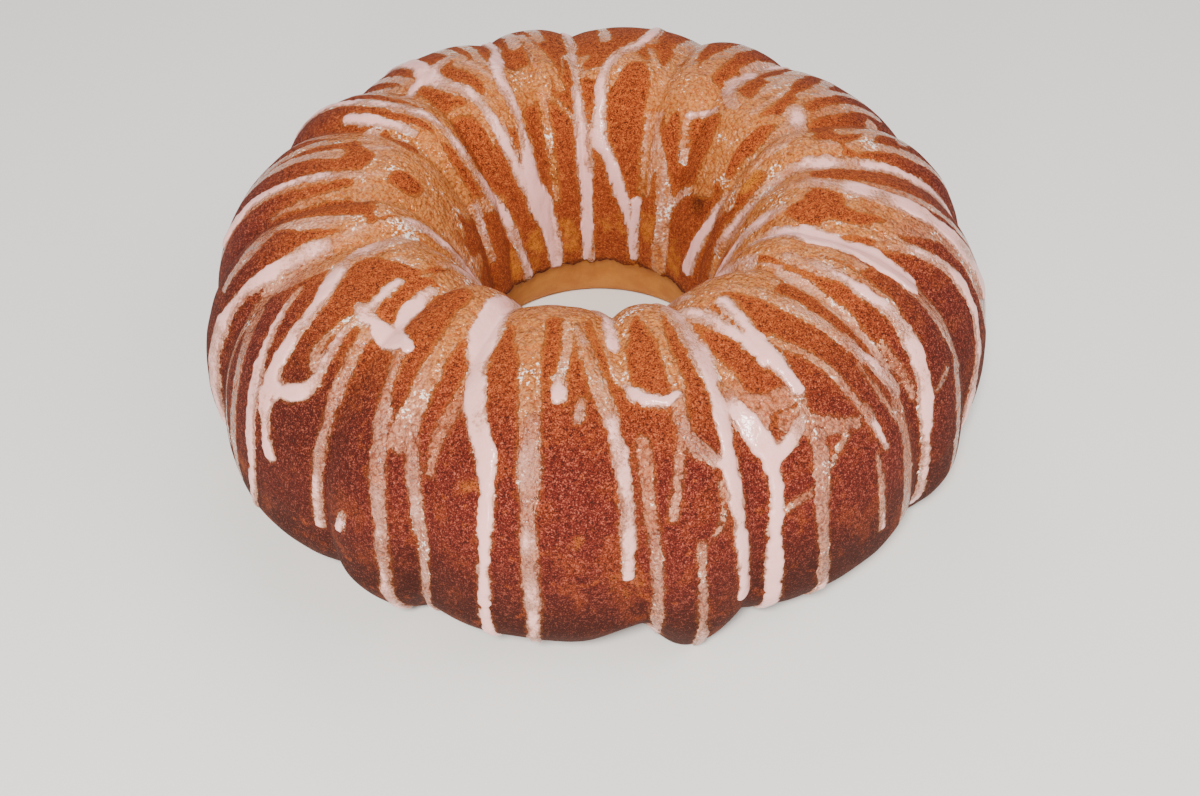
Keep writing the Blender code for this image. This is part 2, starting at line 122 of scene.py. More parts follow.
def crust_profile():
    """Radius, level and length along the crust: a quarter sine, two rounded arcs and a short end."""
    turn = np.linspace(0.0, math.pi / 2, ARC_STEPS)
    low = np.linspace(0.0, 1.0, FOOT_STEPS)
    cos = np.clip(np.cos(turn), 0.0, 1.0)
    sin = np.sin(turn)
    low_r = EDGE_RADIUS + (CAKE_RADIUS - EDGE_RADIUS) * np.sin(low * math.pi / 2)
    low_z = EDGE_LEVEL + (WIDEST_LEVEL - EDGE_LEVEL) * low
    out_r = CREST_RADIUS + (CAKE_RADIUS - CREST_RADIUS) * cos ** (2 / OUTER_FULLNESS)
    out_z = WIDEST_LEVEL + (CAKE_HEIGHT - WIDEST_LEVEL) * sin ** (2 / OUTER_FULLNESS)
    in_r = CREST_RADIUS - (CREST_RADIUS - HOLE_RADIUS) * cos ** (2 / INNER_FULLNESS)
    in_z = HOLE_CURVE_LEVEL + (CAKE_HEIGHT - HOLE_CURVE_LEVEL) * sin ** (2 / INNER_FULLNESS)
    r = np.concatenate([low_r[:-1], out_r, in_r[::-1][1:], [HOLE_RADIUS]])
    z = np.concatenate([low_z[:-1], out_z, in_z[::-1][1:], [CRUST_END_LEVEL]])
    length = np.concatenate([[0.0], np.cumsum(np.hypot(np.diff(r), np.diff(z)))])
    return r, z, length


PROFILE_R, PROFILE_Z, PROFILE_LENGTH = crust_profile()
CRUST_LENGTH = PROFILE_LENGTH[-1]


def profile_at(along):
    """Radius and level of the crust's profile at a length along it."""
    return np.interp(along, PROFILE_LENGTH, PROFILE_R), np.interp(along, PROFILE_LENGTH, PROFILE_Z)


def radius_at(share):
    """Radius of the crust at a share of its length."""
    return profile_at(share * CRUST_LENGTH)[0]


def apart(angle, middle, circle=360.0):
    """Way round a circle from a middle to an angle, at most half the circle to either side."""
    return (angle - middle + circle / 2) % circle - circle / 2


def step(value, low, high):
    """Straight step of a value from 0 at low to 1 at high."""
    return np.clip((value - low) / (high - low), 0.0, 1.0)


def smooth_maximum(first, second, size):
    """The greater of two values, rounded where they are within a size, and the second's part in it."""
    part = step(second - first, -size, size)
    return first + (second - first) * part + size * part * (1.0 - part), part


def lobe_height(angle, share):
    """Smooth maximum of a wide and a narrow lobe, each one minus a power of the way from its middle."""
    offset = np.abs(apart(angle, WIDE_CENTRE, PAIR_ANGLE))
    half = WIDE_HALF_CROWN + (WIDE_HALF_FOOT - WIDE_HALF_CROWN) * step(share, FOOT_SPREAD_SHARE, 0.0)
    wide = 1.0 - (offset / half) ** LOBE_POWER
    narrow = 1.0 - ((PAIR_ANGLE / 2 - offset) / (PAIR_ANGLE / 2 - half)) ** LOBE_POWER
    return smooth_maximum(narrow, wide, LOBE_BLEND)[0]


def flute_depth(share):
    """Depth of the creases: deepest at the foot, even over the crown, fading into the hole."""
    depth = FLUTE_DEPTH + (FLUTE_DEPTH_FOOT - FLUTE_DEPTH) * step(share, FOOT_SPREAD_SHARE, 0.0)
    return depth + (FLUTE_DEPTH_HOLE - FLUTE_DEPTH) * step(share, FLUTE_FADE_START, 1.0)


def waves(angle, parts):
    """Sum of sines round the ring, each a part, a count of waves and a phase."""
    turn = np.radians(angle)
    return sum(part * np.sin(count * turn + phase) for part, count, phase in parts)


def edge_level(angle):
    """Level of the bottom edge: an even level pulled towards each spot's by a bell curve."""
    level = EDGE_LEVEL
    for centre, half, height in EDGE_SPOTS:
        level = level + (height - level) * np.exp(-(apart(angle, centre) / half) ** 2)
    return level


def polar(angle, radius, level):
    """Points at an angle round the hole, a radius and a level."""
    turn = np.radians(angle)
    return np.stack(np.broadcast_arrays(radius * np.cos(turn), radius * np.sin(turn), level), axis=-1)


def crust_place(angle, share, lift):
    """Points of the crust at an angle and share, moved along the profile's normal by a lift. The
    creases are cut in along it too, and waves move the radius and the level, never upwards."""
    share = np.clip(share, 0.0, 1.0)
    along = share * CRUST_LENGTH
    r, z = profile_at(along)
    ahead_r, ahead_z = profile_at(along + NORMAL_PROBE)
    behind_r, behind_z = profile_at(along - NORMAL_PROBE)
    step_r = ahead_r - behind_r
    step_z = ahead_z - behind_z
    size = np.hypot(step_r, step_z)
    out = lift - flute_depth(share) * (1.0 - lobe_height(angle, share))
    r = r + out * step_z / size
    z = z - out * step_r / size
    near_edge = np.clip((WIDEST_LEVEL - z) / (WIDEST_LEVEL - EDGE_LEVEL), 0.0, EDGE_PULL_LIMIT)
    edge_pull = (edge_level(angle) - EDGE_LEVEL) * near_edge * (share < 0.5)
    z = z + SWELL_LEVEL * (waves(angle, LEVEL_WAVES) - 1.0) * step(z, 0.0, CAKE_HEIGHT) + edge_pull
    r = r + SWELL_RADIAL * waves(angle, RADIAL_WAVES) * (1.0 - share)
    return polar(angle, r, z)


def uneven(angle, share, across, along, seed):
    """Smooth random field from -1 to 1: a seeded grid of values round the ring and over the
    crust, eased between its points by the smooth step."""
    values = np.random.default_rng(seed).uniform(-1.0, 1.0, (along + 2, across))
    x = (angle / 360.0 % 1.0) * across
    y = np.clip(share, 0.0, 1.0) * along
    column = np.floor(x).astype(int) % across
    row = np.floor(y).astype(int)
    beside = (column + 1) % across
    ease_x, ease_y = (part * part * (3.0 - 2.0 * part) for part in (x % 1.0, y % 1.0))
    low = values[row, column] * (1.0 - ease_x) + values[row, beside] * ease_x
    high = values[row + 1, column] * (1.0 - ease_x) + values[row + 1, beside] * ease_x
    return low * (1.0 - ease_y) + high * ease_y


def fields(angle, share, layers):
    """Sum of random fields, each times its size."""
    return sum(size * uneven(angle, share, *grid) for size, *grid in layers)


def crust_relief(angle, share):
    """Dents and swells of a baked crust, in metres: random fields, set a little inwards."""
    return fields(angle, share, DENTS) - DENTS_INWARD


# Runs of icing: how white each is, from 0 for clear to 1, then the points that it passes, each an
# angle, a share in hundredths and a width in millimetres. These are thick.
RUNS = (
    (0.7, (-160.5, 52, 6), (-161.3, 44, 6), (-162, 35, 5), (-162.5, 28, 7), (-161.5, 2, 4.5)),
    (0.75, (-156, 66, 9), (-154, 58, 9), (-151, 52, 7), (-147, 49, 6), (-145, 46, 4.5), (-144.5, 40, 4.5),
     (-143.2, 33, 8), (-141, 27, 4.5), (-139, 23.5, 4.8)),
    (0.75, (-152, 45.5, 2.5), (-149.3, 40, 3.5), (-147, 34.5, 4.5), (-145.2, 29.5, 6), (-143.9, 24, 4.6),
     (-142.6, 19, 4.6), (-144, 9, 3.6)),
    (0.98, (-138.8, 50.2, 4), (-136, 49.3, 6.5), (-131, 49.7, 8), (-125.5, 48.8, 4.5)),
    (0.92, (-132.2, 60, 3.5), (-132.3, 57, 4.5), (-129.5, 50, 5)),
    (0.88, (-138.4, 57, 3.5), (-137.8, 53, 3.5), (-137, 50, 4)),
    (0.65, (-137.5, 49, 3), (-137.3, 44, 2.8), (-136, 39.5, 4), (-135.7, 36, 4.5), (-138, 34.3, 4.5),
     (-141.5, 33, 5.5)),
    (0.45, (-134.3, 49, 4), (-132.6, 42, 3.4), (-131.6, 34, 3.6), (-130.7, 15, 3.6)),
    (0.9, (-124.8, 21.8, 2.8), (-125.6, 19.2, 3.6)),
    (0.42, (-126, 48.5, 3), (-124, 43, 4), (-121.6, 36.5, 5.5), (-120.3, 31, 5), (-119.2, 25, 4.4),
     (-118.6, 1, 3.6)),
    (0.5, (-117.6, 38.5, 5), (-115.8, 33, 4), (-114.6, 27, 3.6), (-113.5, 19, 4), (-113.9, 1, 3.5)),
    (0.9, (-115.2, 67, 7), (-114.8, 60, 9), (-113, 53, 8), (-110.6, 47, 6.5), (-109, 42.5, 7.5),
     (-106.3, 39.5, 6), (-105, 35, 4.8), (-104.8, 27, 4.4), (-104.7, 18, 3.6), (-104.3, 1, 3.2)),
    (0.55, (-100, 43, 4.5), (-99.4, 37, 6.5), (-99, 30, 5), (-98.7, 22, 4.6), (-98.7, 0, 3.8)),
    (0.9, (-96.4, 49.7, 4.2), (-96, 47, 4.8)),
    (0.5, (-92.8, 46.5, 3.2), (-93.2, 44, 3.6)),
    (0.6, (-94.5, 60, 3.5), (-92, 55, 4), (-89.3, 49, 5), (-87.6, 43, 5.5), (-86.8, 37, 5), (-86.3, 28, 4),
     (-86.4, 20, 4.8)),
    (0.8, (-87.2, 67, 5), (-87, 61, 5.5), (-86.6, 56.5, 4)),
    (0.92, (-85.2, 49.5, 3), (-83.6, 47.2, 4.6), (-80.5, 45.5, 4), (-77.2, 46.2, 4.6)),
    (0.55, (-76.8, 46, 3.6), (-77.8, 41, 5), (-76, 38.5, 4), (-71.5, 35, 3.2)),
    (0.5, (-83, 27, 3), (-82.9, 17, 3.4), (-82.8, 0, 3.6)),
    (0.4, (-77.5, 25, 2.4), (-77.2, 15, 3), (-76.6, 0, 3.4)),
    (0.85, (-70.6, 67, 7), (-70.3, 57, 7), (-70.2, 49, 6.5), (-70.9, 43, 6), (-71.7, 36, 5),
     (-71.8, 28, 4.6), (-71.5, 19, 4.6), (-71.4, 12.5, 5)),
    (0.9, (-69.5, 47, 5), (-68.2, 42, 7), (-66.2, 37.5, 6.5), (-65.6, 32, 4.6), (-66.2, 26, 4.4),
     (-67, 20, 5), (-67.1, 13, 5), (-66.7, 0, 4.4)),
    (0.85, (-68, 63, 5), (-65.3, 59.5, 5), (-62.8, 56, 4.6), (-60.8, 52, 5), (-59.6, 48, 5)),
    (0.9, (-58.7, 59.5, 4.8), (-58.7, 55, 4.6), (-59.4, 50.5, 6), (-58.9, 46, 5), (-58.3, 42, 4.2)),
    (0.8, (-58.6, 40, 3.6), (-60, 37.2, 5), (-64.8, 34.5, 3.8)),
    (0.5, (-58.4, 35, 5), (-59.4, 29, 4.6), (-60.4, 22, 4.2), (-60.3, 13, 4), (-59, 1, 4.4)),
    (0.6, (-49.4, 34.5, 3.4), (-48.8, 31, 3.4), (-48.2, 27.5, 2.4)),
    (0.5, (-50.3, 27, 2.4), (-50.4, 21, 2.6), (-49.9, 14, 3.4)),
    (0.48, (-53.5, 61, 5), (-50.5, 58, 5.5), (-47.8, 53, 5.5), (-46.6, 48.5, 4.6), (-45.2, 44, 5),
     (-43.6, 39, 6), (-41.6, 33, 5.4)),
    (0.7, (-36.2, 60, 4), (-35.2, 53, 4.4), (-34.8, 46, 4.8), (-34.2, 41, 6), (-35.5, 36, 5.6),
     (-36.8, 30, 5.4), (-38.3, 24, 4.6), (-38.6, 18, 3.4), (-38.2, 1, 3.6)),
    (0.95, (-25.5, 68, 10), (-25.2, 61, 12), (-24.4, 54, 9.5), (-24.6, 47, 9), (-25, 42.5, 9.5)),
    (0.75, (-18.7, 47.5, 5), (-17, 42, 3.6), (-15.8, 35, 4.6), (-16.5, 28, 4.4), (-18.2, 22, 5),
     (-20.7, 16, 5.2), (-22, 1, 4.6)),
    (0.7, (-4.5, 64.5, 5), (-5, 60, 7), (-6, 55.5, 6), (-7.4, 50, 10), (-7.5, 44, 8), (-8.5, 36, 8),
     (-9.5, 26, 7)),
    (0.7, (7, 85, 3), (6, 79, 3), (4.6, 71, 3.8), (5.4, 65, 4.8), (5.2, 58, 5), (5.4, 46, 3.6),
     (4.5, 25, 4.5)),
    (0.8, (21.5, 77.5, 4.2), (24.2, 84.5, 4), (27.2, 90, 4.8), (29.6, 94.5, 5)),
    (0.5, (18, 78, 7), (18, 71, 9), (17.5, 65, 10), (20.5, 60, 12), (28, 56.5, 8)),
    (0.75, (40, 63.5, 4), (45, 63.5, 6), (48.3, 61, 7), (49, 56, 6), (48.3, 48, 5), (48.8, 22, 4.6)),
    (0.9, (46.5, 65.8, 3.6), (49.5, 67.2, 4), (53.8, 69, 2.8)),
    (0.8, (68, 98.5, 3.4), (68.6, 93, 4.6), (68.8, 86.5, 3)),
    (0.8, (69.5, 92.5, 4), (74, 88, 4), (79.5, 82.5, 4.6), (83.5, 77.5, 4.8), (87, 76.2, 5.6)),
    (0.8, (94, 76.5, 3.6), (87.5, 76.5, 6), (86.6, 70, 5), (86.3, 64, 4.8), (84, 60, 5.5), (80, 57, 4.6),
     (77.5, 54.5, 4.4), (76, 49, 4.2), (76, 16, 4.2)),
    (0.8, (93, 99, 4.4), (94, 92, 4.8), (93.8, 84, 5.4), (94, 77, 5.6), (94.6, 69, 4), (95.2, 57, 3.8),
     (95.4, 48, 4.2), (94.8, 20, 4.2)),
    (0.85, (112, 100, 5.5), (113.5, 93, 6.5), (116.5, 87, 8), (121, 82, 8), (118.3, 75, 4.4),
     (118.8, 69, 4.4), (119.2, 63, 6.2), (118, 59.5, 5.8), (115, 56.5, 4.8), (112.5, 51, 4.2),
     (109.5, 22, 4.4)),
    (0.85, (123.5, 81, 6), (126.2, 76, 4.6), (127.6, 69, 4.4), (130.5, 62.5, 5.2), (133.2, 57, 7),
     (132.8, 53, 8), (130, 48, 5.4), (128.5, 20, 4.8)),
    (0.8, (124.8, 51.5, 4.6), (129, 52.2, 5), (136, 52.8, 5.6), (140.5, 53.8, 4.6)),
    (0.75, (130.8, 99, 4), (133.5, 93, 3.8), (136.2, 87, 4), (140, 82, 4.2), (145, 77.5, 5.6),
     (146.6, 72, 4.4), (147.2, 62, 5.4), (147.8, 54, 4.6), (149.5, 28, 4.6)),
    (0.7, (154.3, 90.5, 2.8), (154.8, 84, 2.4), (154, 79.5, 3.4)),
    (0.95, (154.2, 63, 3), (154, 56, 4), (153.8, 49, 4.8)),
    (0.85, (176.6, 57.5, 3.4), (176.2, 50, 3.8), (177, 28, 4.4)),
)
# The thin see-through runs and films, in the same form
FILMS = (
    (0.2, (-179.5, 62, 5), (-177.8, 52, 3), (-177, 43, 2.5)),
    (0.7, (-164.5, 57.5, 6), (-167, 52, 6.5), (-171, 45.5, 5)),
    (0.3, (-171, 43, 8), (-168, 38, 6), (-167, 33, 4)),
    (0.5, (-157.5, 64, 16), (-157, 55, 15), (-157.5, 46, 11), (-158.5, 40, 6)),
    (0.2, (-158, 40, 5), (-156.5, 29, 3), (-151.5, 16, 3)),
    (0.2, (-156, 37, 7), (-152, 31, 5), (-149.5, 23, 5), (-148.5, 11, 4)),
    (0.6, (-150.5, 57.5, 2.6), (-146, 60.3, 2.6), (-140, 61.5, 2.6)),
    (0.3, (-137.5, 49, 3), (-139.5, 42, 2.6), (-137.5, 40, 4)),
    (0.4, (-117.8, 62, 8), (-119.3, 52, 5.5), (-118.6, 44, 6.5), (-118.5, 37, 7.5)),
    (0.1, (-112.3, 52, 3.5), (-112.8, 44, 4.5), (-113.8, 38, 4), (-113.6, 33, 2.4)),
    (0.1, (-106, 63, 11), (-103.5, 56, 7.5), (-101.8, 50, 5.5), (-100.6, 44, 6), (-99.8, 38, 7),
     (-99.3, 33, 6)),
    (0.3, (-96.3, 61, 3.4), (-96, 55, 3), (-96.4, 50, 3)),
    (0.1, (-86.8, 67, 13), (-86.5, 59, 9), (-85.5, 51, 5)),
    (0.1, (-77, 62, 6), (-76.5, 55, 3.6), (-76.8, 47, 3.6)),
    (0.5, (-78.2, 40.5, 3.6), (-79.6, 35, 3), (-80.6, 29.5, 2.6)),
    (0.2, (-83.6, 40.5, 4), (-83.3, 32, 3.6), (-83, 25, 3.2)),
    (0.4, (-73.5, 33, 2.2), (-73.8, 28, 2.2), (-75.5, 26, 2.2)),
    (0.4, (-68.8, 51, 6), (-67.8, 45, 8), (-65, 40, 5)),
    (0.3, (-66.5, 43, 6), (-62.5, 41.5, 7), (-58.6, 42, 5)),
    (0.3, (-61.5, 38.5, 7), (-57, 35.5, 5), (-51.8, 33.5, 3.4)),
    (0.2, (-54, 33.5, 2.4), (-56, 31.5, 2.4), (-58, 30, 2.4)),
    (0.2, (-66, 25.5, 3), (-63.5, 27, 2.4), (-61.5, 27.2, 2.4)),
    (0.5, (-57, 50, 2.8), (-54.5, 47, 2.8), (-52, 43, 2.8), (-50.5, 37, 2.8), (-49.2, 33, 3.4)),
    (0.3, (-46, 40, 2), (-45.6, 35, 2), (-44.4, 30, 2)),
    (0.3, (-42.6, 32, 5), (-43.4, 25, 6), (-43.7, 16, 6), (-43.5, 6, 6)),
    (0.7, (-41.5, 64, 6), (-40.4, 55, 4.4), (-40.5, 47, 3.8), (-40.6, 41, 4.4), (-41, 36, 4)),
    (0.3, (-39.2, 40, 2.4), (-38.8, 30, 2.6)),
    (0.2, (-33.4, 62, 3), (-32.6, 52, 2.6), (-33.2, 42, 3)),
    (0.3, (-35.5, 28.3, 2), (-34, 28.5, 2), (-31.5, 29.5, 2)),
    (0.6, (-25.2, 42, 9.5), (-25.8, 35, 8.5), (-27, 28, 8)),
    (0.2, (-29, 28, 4), (-31, 23, 4), (-32, 8, 4)),
    (0.4, (-20.2, 57, 5), (-18.5, 52, 4.6), (-17.5, 47, 4.6)),
    (0.3, (-20.5, 49, 4), (-18, 45.5, 4)),
    (0.3, (-17, 50, 5), (-14, 45, 5), (-10.5, 40, 5)),
    (0.4, (-9.5, 53, 13), (-9, 42, 11), (-11.5, 22, 9)),
    (0.2, (-35.5, 78, 8), (-33, 70, 8), (-32, 62, 8)),
    (0.3, (-30.5, 64, 6), (-30, 56, 5), (-29.5, 50, 4)),
    (0.2, (0, 90, 10), (0, 78, 10), (1, 66, 12)),
    (0.2, (8, 66, 4), (9.5, 60, 8), (9, 56, 7)),
    (0.4, (9, 52, 4), (14, 48, 4.6), (19, 45, 4.4), (23.5, 42, 4.4)),
    (0.5, (25, 56, 4), (26.5, 50, 4), (27.5, 44, 3.8), (26.5, 38, 3.8)),
    (0.4, (34, 78.5, 7), (33.5, 72, 8), (33.5, 66, 8), (35, 61, 10), (37.5, 57, 8), (40.5, 52, 7),
     (43, 45, 6)),
    (0.7, (29, 78.5, 3.2), (36, 78.5, 4), (43, 81, 3), (49, 83.5, 3), (52.5, 86.5, 3.6)),
    (0.3, (30, 55, 4), (33, 51, 4), (37.5, 42, 4.4)),
    (0.3, (14, 42, 4), (18, 37, 5)),
    (0.6, (53, 99, 5), (52.5, 93, 5), (53.8, 88, 5), (54.6, 84, 4.6)),
    (0.6, (54.6, 84, 5), (57, 80, 6), (60, 76.5, 5.6), (66.5, 74.5, 5.4), (66.8, 70, 6), (64.5, 67, 5)),
    (0.5, (64.5, 84, 6), (64.5, 78, 6), (66.5, 73, 5)),
    (0.7, (54.5, 69, 2.6), (53, 72, 2.4), (50.5, 77, 2.4)),
    (0.1, (60, 67.5, 6), (62, 60, 5), (64, 52, 4), (65, 44, 4)),
    (0.1, (67, 68, 6), (67.5, 60, 4.5), (66.5, 44, 4)),
    (0.4, (68, 69, 3), (70.5, 62, 3.4), (74, 56, 3.4)),
    (0.1, (53, 66, 3), (56.5, 61, 7), (57, 50, 5), (57, 43, 5)),
    (0.4, (97, 72, 2.2), (103, 69, 2.4), (110.5, 65.5, 2.4)),
    (0.5, (109, 86.5, 2.4), (108.2, 78, 2.6), (107.5, 69, 2.8), (107.6, 62, 2.4), (106.5, 55, 2.4)),
    (0.3, (100.5, 66.5, 3.6), (103, 61, 3.8), (105.5, 54, 3.4), (106, 49, 3.4)),
    (0.4, (121, 70, 6), (121.5, 64, 8), (122, 58, 8), (124.5, 54.5, 6)),
    (0.3, (120, 57, 4), (118, 50, 4), (117, 38, 4)),
    (0.3, (137, 53, 5), (139, 48, 4), (139.5, 40, 4)),
    (0.2, (143.5, 65, 5), (142, 60, 6), (141, 54, 7)),
    (0.4, (138.5, 82.5, 4), (145, 81, 4.6), (153, 80, 5), (160, 78.5, 6)),
    (0.5, (155, 78, 3), (154.6, 70, 3.2), (153.8, 63, 3)),
    (0.3, (160, 78.5, 10), (165, 74, 12), (166, 68, 11)),
    (0.6, (166.5, 68, 8), (166, 62, 9), (162, 57, 9), (157, 55, 7)),
    (0.2, (169, 62, 9), (174, 61, 9), (182, 59, 9)),
    (0.4, (171, 87, 6), (176, 87, 7), (182, 85, 8)),
    (0.3, (-172, 66, 10), (-176, 74, 10), (-178, 90, 8)),
    (0.3, (162, 53, 5), (166, 44, 4), (168, 36, 4)),
)
# Bare places in the film that covers the crown: angle, share and half sizes in the same units
WINDOWS = (
    (-145, 55, 5.2, 4), (-134.8, 60, 1.6, 2), (-126, 57.5, 6, 5), (-137, 64, 1.5, 2.5), (-64, 54.5, 4, 3.6),
    (-89.5, 57, 2, 4), (-16, 60, 4.2, 5), (-38.5, 64, 1.2, 5), (9, 72, 3.5, 4), (25.3, 68.5, 3.4, 6.8),
    (45.5, 72.5, 6.5, 6), (36, 86, 12, 4.5), (54, 54.5, 3, 3.5), (76, 70, 6, 10), (84, 55, 3, 4),
    (101, 58, 2.5, 6), (122.5, 71, 2, 5), (127, 61, 2, 3), (138, 72, 6, 6), (151, 73, 2.6, 6),
    (150.5, 60, 1.4, 6), (160, 62, 2.6, 4), (176, 65.5, 4, 3.5), (-163.5, 64, 1.6, 3),
)
# Places where the crust is golden (above 0) or darker (below 0): angle, share, half sizes
# in the same units, and how much
TONES = (
    (41, 95, 9, 5.5, 0.8), (61, 90, 7, 5, 0.75), (104, 93.5, 8, 5, 0.8), (124, 94, 7, 5, 0.8),
    (80, 92, 10, 3.4, 0.75), (138, 95.5, 6, 4.5, 0.8), (12, 72, 5, 4, 1), (33, 81.5, 4.5, 2.2, -0.8),
    (-135, 30, 16, 14, -0.7), (-165, 25, 14, 16, -0.6), (-112, 12, 12, 10, -0.7), (-92, 4, 22, 10, -0.9),
    (-62, 8, 18, 12, -0.8), (-30, 20, 14, 16, -0.5), (-61, 49, 1, 1.2, -0.9), (-94, 27, 5, 3, 0.35),
    (-87.5, 18, 6, 4, 0.25), (-108, 33, 3, 2, 0.4), (-148, 13, 5, 4, 0.35), (-98, 2, 4, 1.5, 0.6),
)
TONE_POWER = 3.0
POINT_UNITS = (1, 100, 1000)
PATH_STEP = 0.0012
LEAST_STEPS = 3
BEND_EASE = 0.006
BEND_SAMPLES = 9
SWAY = 0.0003
SWAY_LENGTH = 0.011
SWAY_PHASE = 2.3


def run_path(number, run):
    """Path of a run by even steps: straight legs eased at the bends, swaying by a sine."""
    angle, share, width = (np.array(run[1:]) / POINT_UNITS).T
    radius = radius_at(share)
    leg = np.hypot(np.radians(np.diff(angle)) * (radius[:-1] + radius[1:]) / 2, np.diff(share) * CRUST_LENGTH)
    reach = np.concatenate([[0.0], np.cumsum(leg)])
    along = np.linspace(0.0, reach[-1], int(reach[-1] / PATH_STEP) + LEAST_STEPS)
    ease = np.minimum(BEND_EASE, np.minimum(along, reach[-1] - along))
    shifts = np.linspace(-1.0, 1.0, BEND_SAMPLES)
    path_angle, path_share, path_width = (
        sum(np.interp(along + shift * ease, reach, values) for shift in shifts) / BEND_SAMPLES
        for values in (angle, share, width))
    sway = SWAY * np.sin(along / SWAY_LENGTH + SWAY_PHASE * number)
    path_angle = path_angle + np.degrees(sway / radius_at(path_share))
    return path_angle, path_share, path_width, along


# Runs that the photo doesn't show, in the units of the tables: on the front inside of the hole, and
# thin ones down the back of the outer wall. Three numbers are a middle value, the size of its swing
# from one run to the next and the step of the swing's sine.
HOLE_RUNS = dict(
    count=7, first=-164.0, spacing=25.0, shift=(0, 0, 0), white=(0.8, 0, 0), width=(4.2, 0, 0), wider=1.5,
    top=66, lean=(0, 2, 1.7), middle=80, foot_lean=(0, 2, 1.7), foot=(93, 6, 2.9))
BACK_FILMS = dict(
    count=17, first=-4.0, spacing=11.5, shift=(0, 3, 2.3), white=(0.55, 0.25, 2.7), width=(3.8, 0.8, 3.1),
    wider=1.0, top=53, lean=(0, 1.5, 1), middle=38, foot_lean=(0, 1, 1.3), foot=(17, 13, 1.9))


def unseen_runs(count, first, spacing, shift, white, width, wider, top, lean, middle, foot_lean, foot):
    """Runs spaced round the ring, each value the middle one plus a size times a sine."""
    for k in range(count):
        shift_k, white_k, width_k, lean_k, foot_lean_k, foot_k = (
            value + size * math.sin(turn * k)
            for value, size, turn in (shift, white, width, lean, foot_lean, foot))
        angle = first + k * spacing + shift_k
        yield (white_k, (angle, top, width_k + wider), (angle + lean_k, middle, width_k),
               (angle + foot_lean_k, foot_k, width_k))


# How a run's edge wavers, each a part of its width, a length and a phase for each run; the random
# fields of its edge, each a part of its roughness and counts; and how its white fades in and out
WAVERS = ((0.09, 0.0079, 1.7), (0.09, 0.0031, 2.9))
EDGE_FIELDS = ((1.0, 300, 90), (0.8, 620, 170))
START_FADE = 0.009
START_FADE_PART = 0.35
WALL_START_WHITE = 0.45
CROWN_START_WHITE = 0.85
CROWN_START_SHARE = 0.485
FOOT_WHITENING = 0.40
MERGE_SIZE = 0.0012
SPARE_REACH = 0.003
FAR_OUTSIDE = -0.02


def run_field(angles, shares, runs, rough, seed):
    """Depth inside the nearest run and that run's whiteness, over a grid of angles and shares.
    The depth is the half width, made uneven by sines, less the way to the path. It is joined
    between runs by a smooth maximum, and random fields are added to it."""
    depth = np.full((len(shares), len(angles)), FAR_OUTSIDE)
    white = np.zeros(depth.shape)
    radii = radius_at(shares)
    for number, run in enumerate(runs):
        path_angle, path_share, path_width, along = run_path(number, run)
        waver = sum(part * np.sin(along / length + phase * number) for part, length, phase in WAVERS)
        path_half = path_width / 2 * (1.0 + waver)
        first = WALL_START_WHITE if path_share[0] < CROWN_START_SHARE else CROWN_START_WHITE
        start = step(along, 0.0, min(START_FADE, START_FADE_PART * along[-1]))
        path_white = run[0] * (first + (1.0 - first) * start)
        path_white = path_white + (1.0 - run[0]) * FOOT_WHITENING * (along / along[-1]) ** 2
        margin = path_half.max() + SPARE_REACH
        from_share = np.abs(shares - (path_share.min() + path_share.max()) / 2)
        rows = np.flatnonzero(from_share < np.ptp(path_share) / 2 + margin / CRUST_LENGTH)
        middle = (path_angle.min() + path_angle.max()) / 2
        from_middle = apart(angles, middle)
        reach = np.ptp(path_angle) / 2 + np.degrees(margin / radii[rows].min())
        columns = np.flatnonzero(np.abs(from_middle) < reach)
        x = from_middle[columns][None, :]
        y = shares[rows][:, None]
        scale = np.radians(radii[rows])[:, None]
        best = np.full((len(rows), len(columns)), FAR_OUTSIDE)
        best_white = np.zeros(best.shape)
        path = zip(path_angle - middle, path_share, path_half, path_white)
        for at_angle, at_share, half, whiteness in path:
            inside = half - np.hypot((x - at_angle) * scale, (y - at_share) * CRUST_LENGTH)
            best_white = np.where(inside > best, whiteness, best_white)
            best = np.maximum(best, inside)
        area = np.ix_(rows, columns)
        depth[area], part = smooth_maximum(depth[area], best, MERGE_SIZE)
        white[area] += (best_white - white[area]) * part
    layers = [(part * rough, across, over, seed + k) for k, (part, across, over) in enumerate(EDGE_FIELDS)]
    return depth + fields(*np.meshgrid(angles, shares), layers), white


def cell_quads(i, j, rows, columns):
    """Corners of the cells of a grid whose rows and columns both close on themselves."""
    beside = (j + 1) % columns
    after = (i + 1) % rows * columns
    return np.stack([i * columns + j, i * columns + beside, after + beside, after + j], axis=-1)


def mesh_from(name, points, quads):
    """A smooth mesh object from whole arrays of points and four-cornered faces."""
    mesh = bpy.data.meshes.new(name)
    mesh.vertices.add(len(points))
    mesh.vertices.foreach_set("co", points.astype(np.float32).ravel())
    mesh.loops.add(quads.size)
    mesh.loops.foreach_set("vertex_index", quads.astype(np.int32).ravel())
    mesh.polygons.add(len(quads))
    mesh.polygons.foreach_set("loop_start", np.arange(0, quads.size, 4, dtype=np.int32))
    mesh.update(calc_edges=True)
    mesh.polygons.foreach_set("use_smooth", np.ones(len(quads), dtype=bool))
    mesh.validate()
    thing = bpy.data.objects.new(name, mesh)
    bpy.context.scene.collection.objects.link(thing)
    return thing


def point_values(thing, name, values):
    """Stores one number for each point of a mesh, for its material to read."""
    attribute = thing.data.attributes.new(name, "FLOAT", "POINT")
    attribute.data.foreach_set("value", np.asarray(values, dtype=np.float32).ravel())


FILM_ROUGH = 0.0004
FILM_SEED = 31
RUN_ROUGH = 0.0006
RUN_SEED = 33

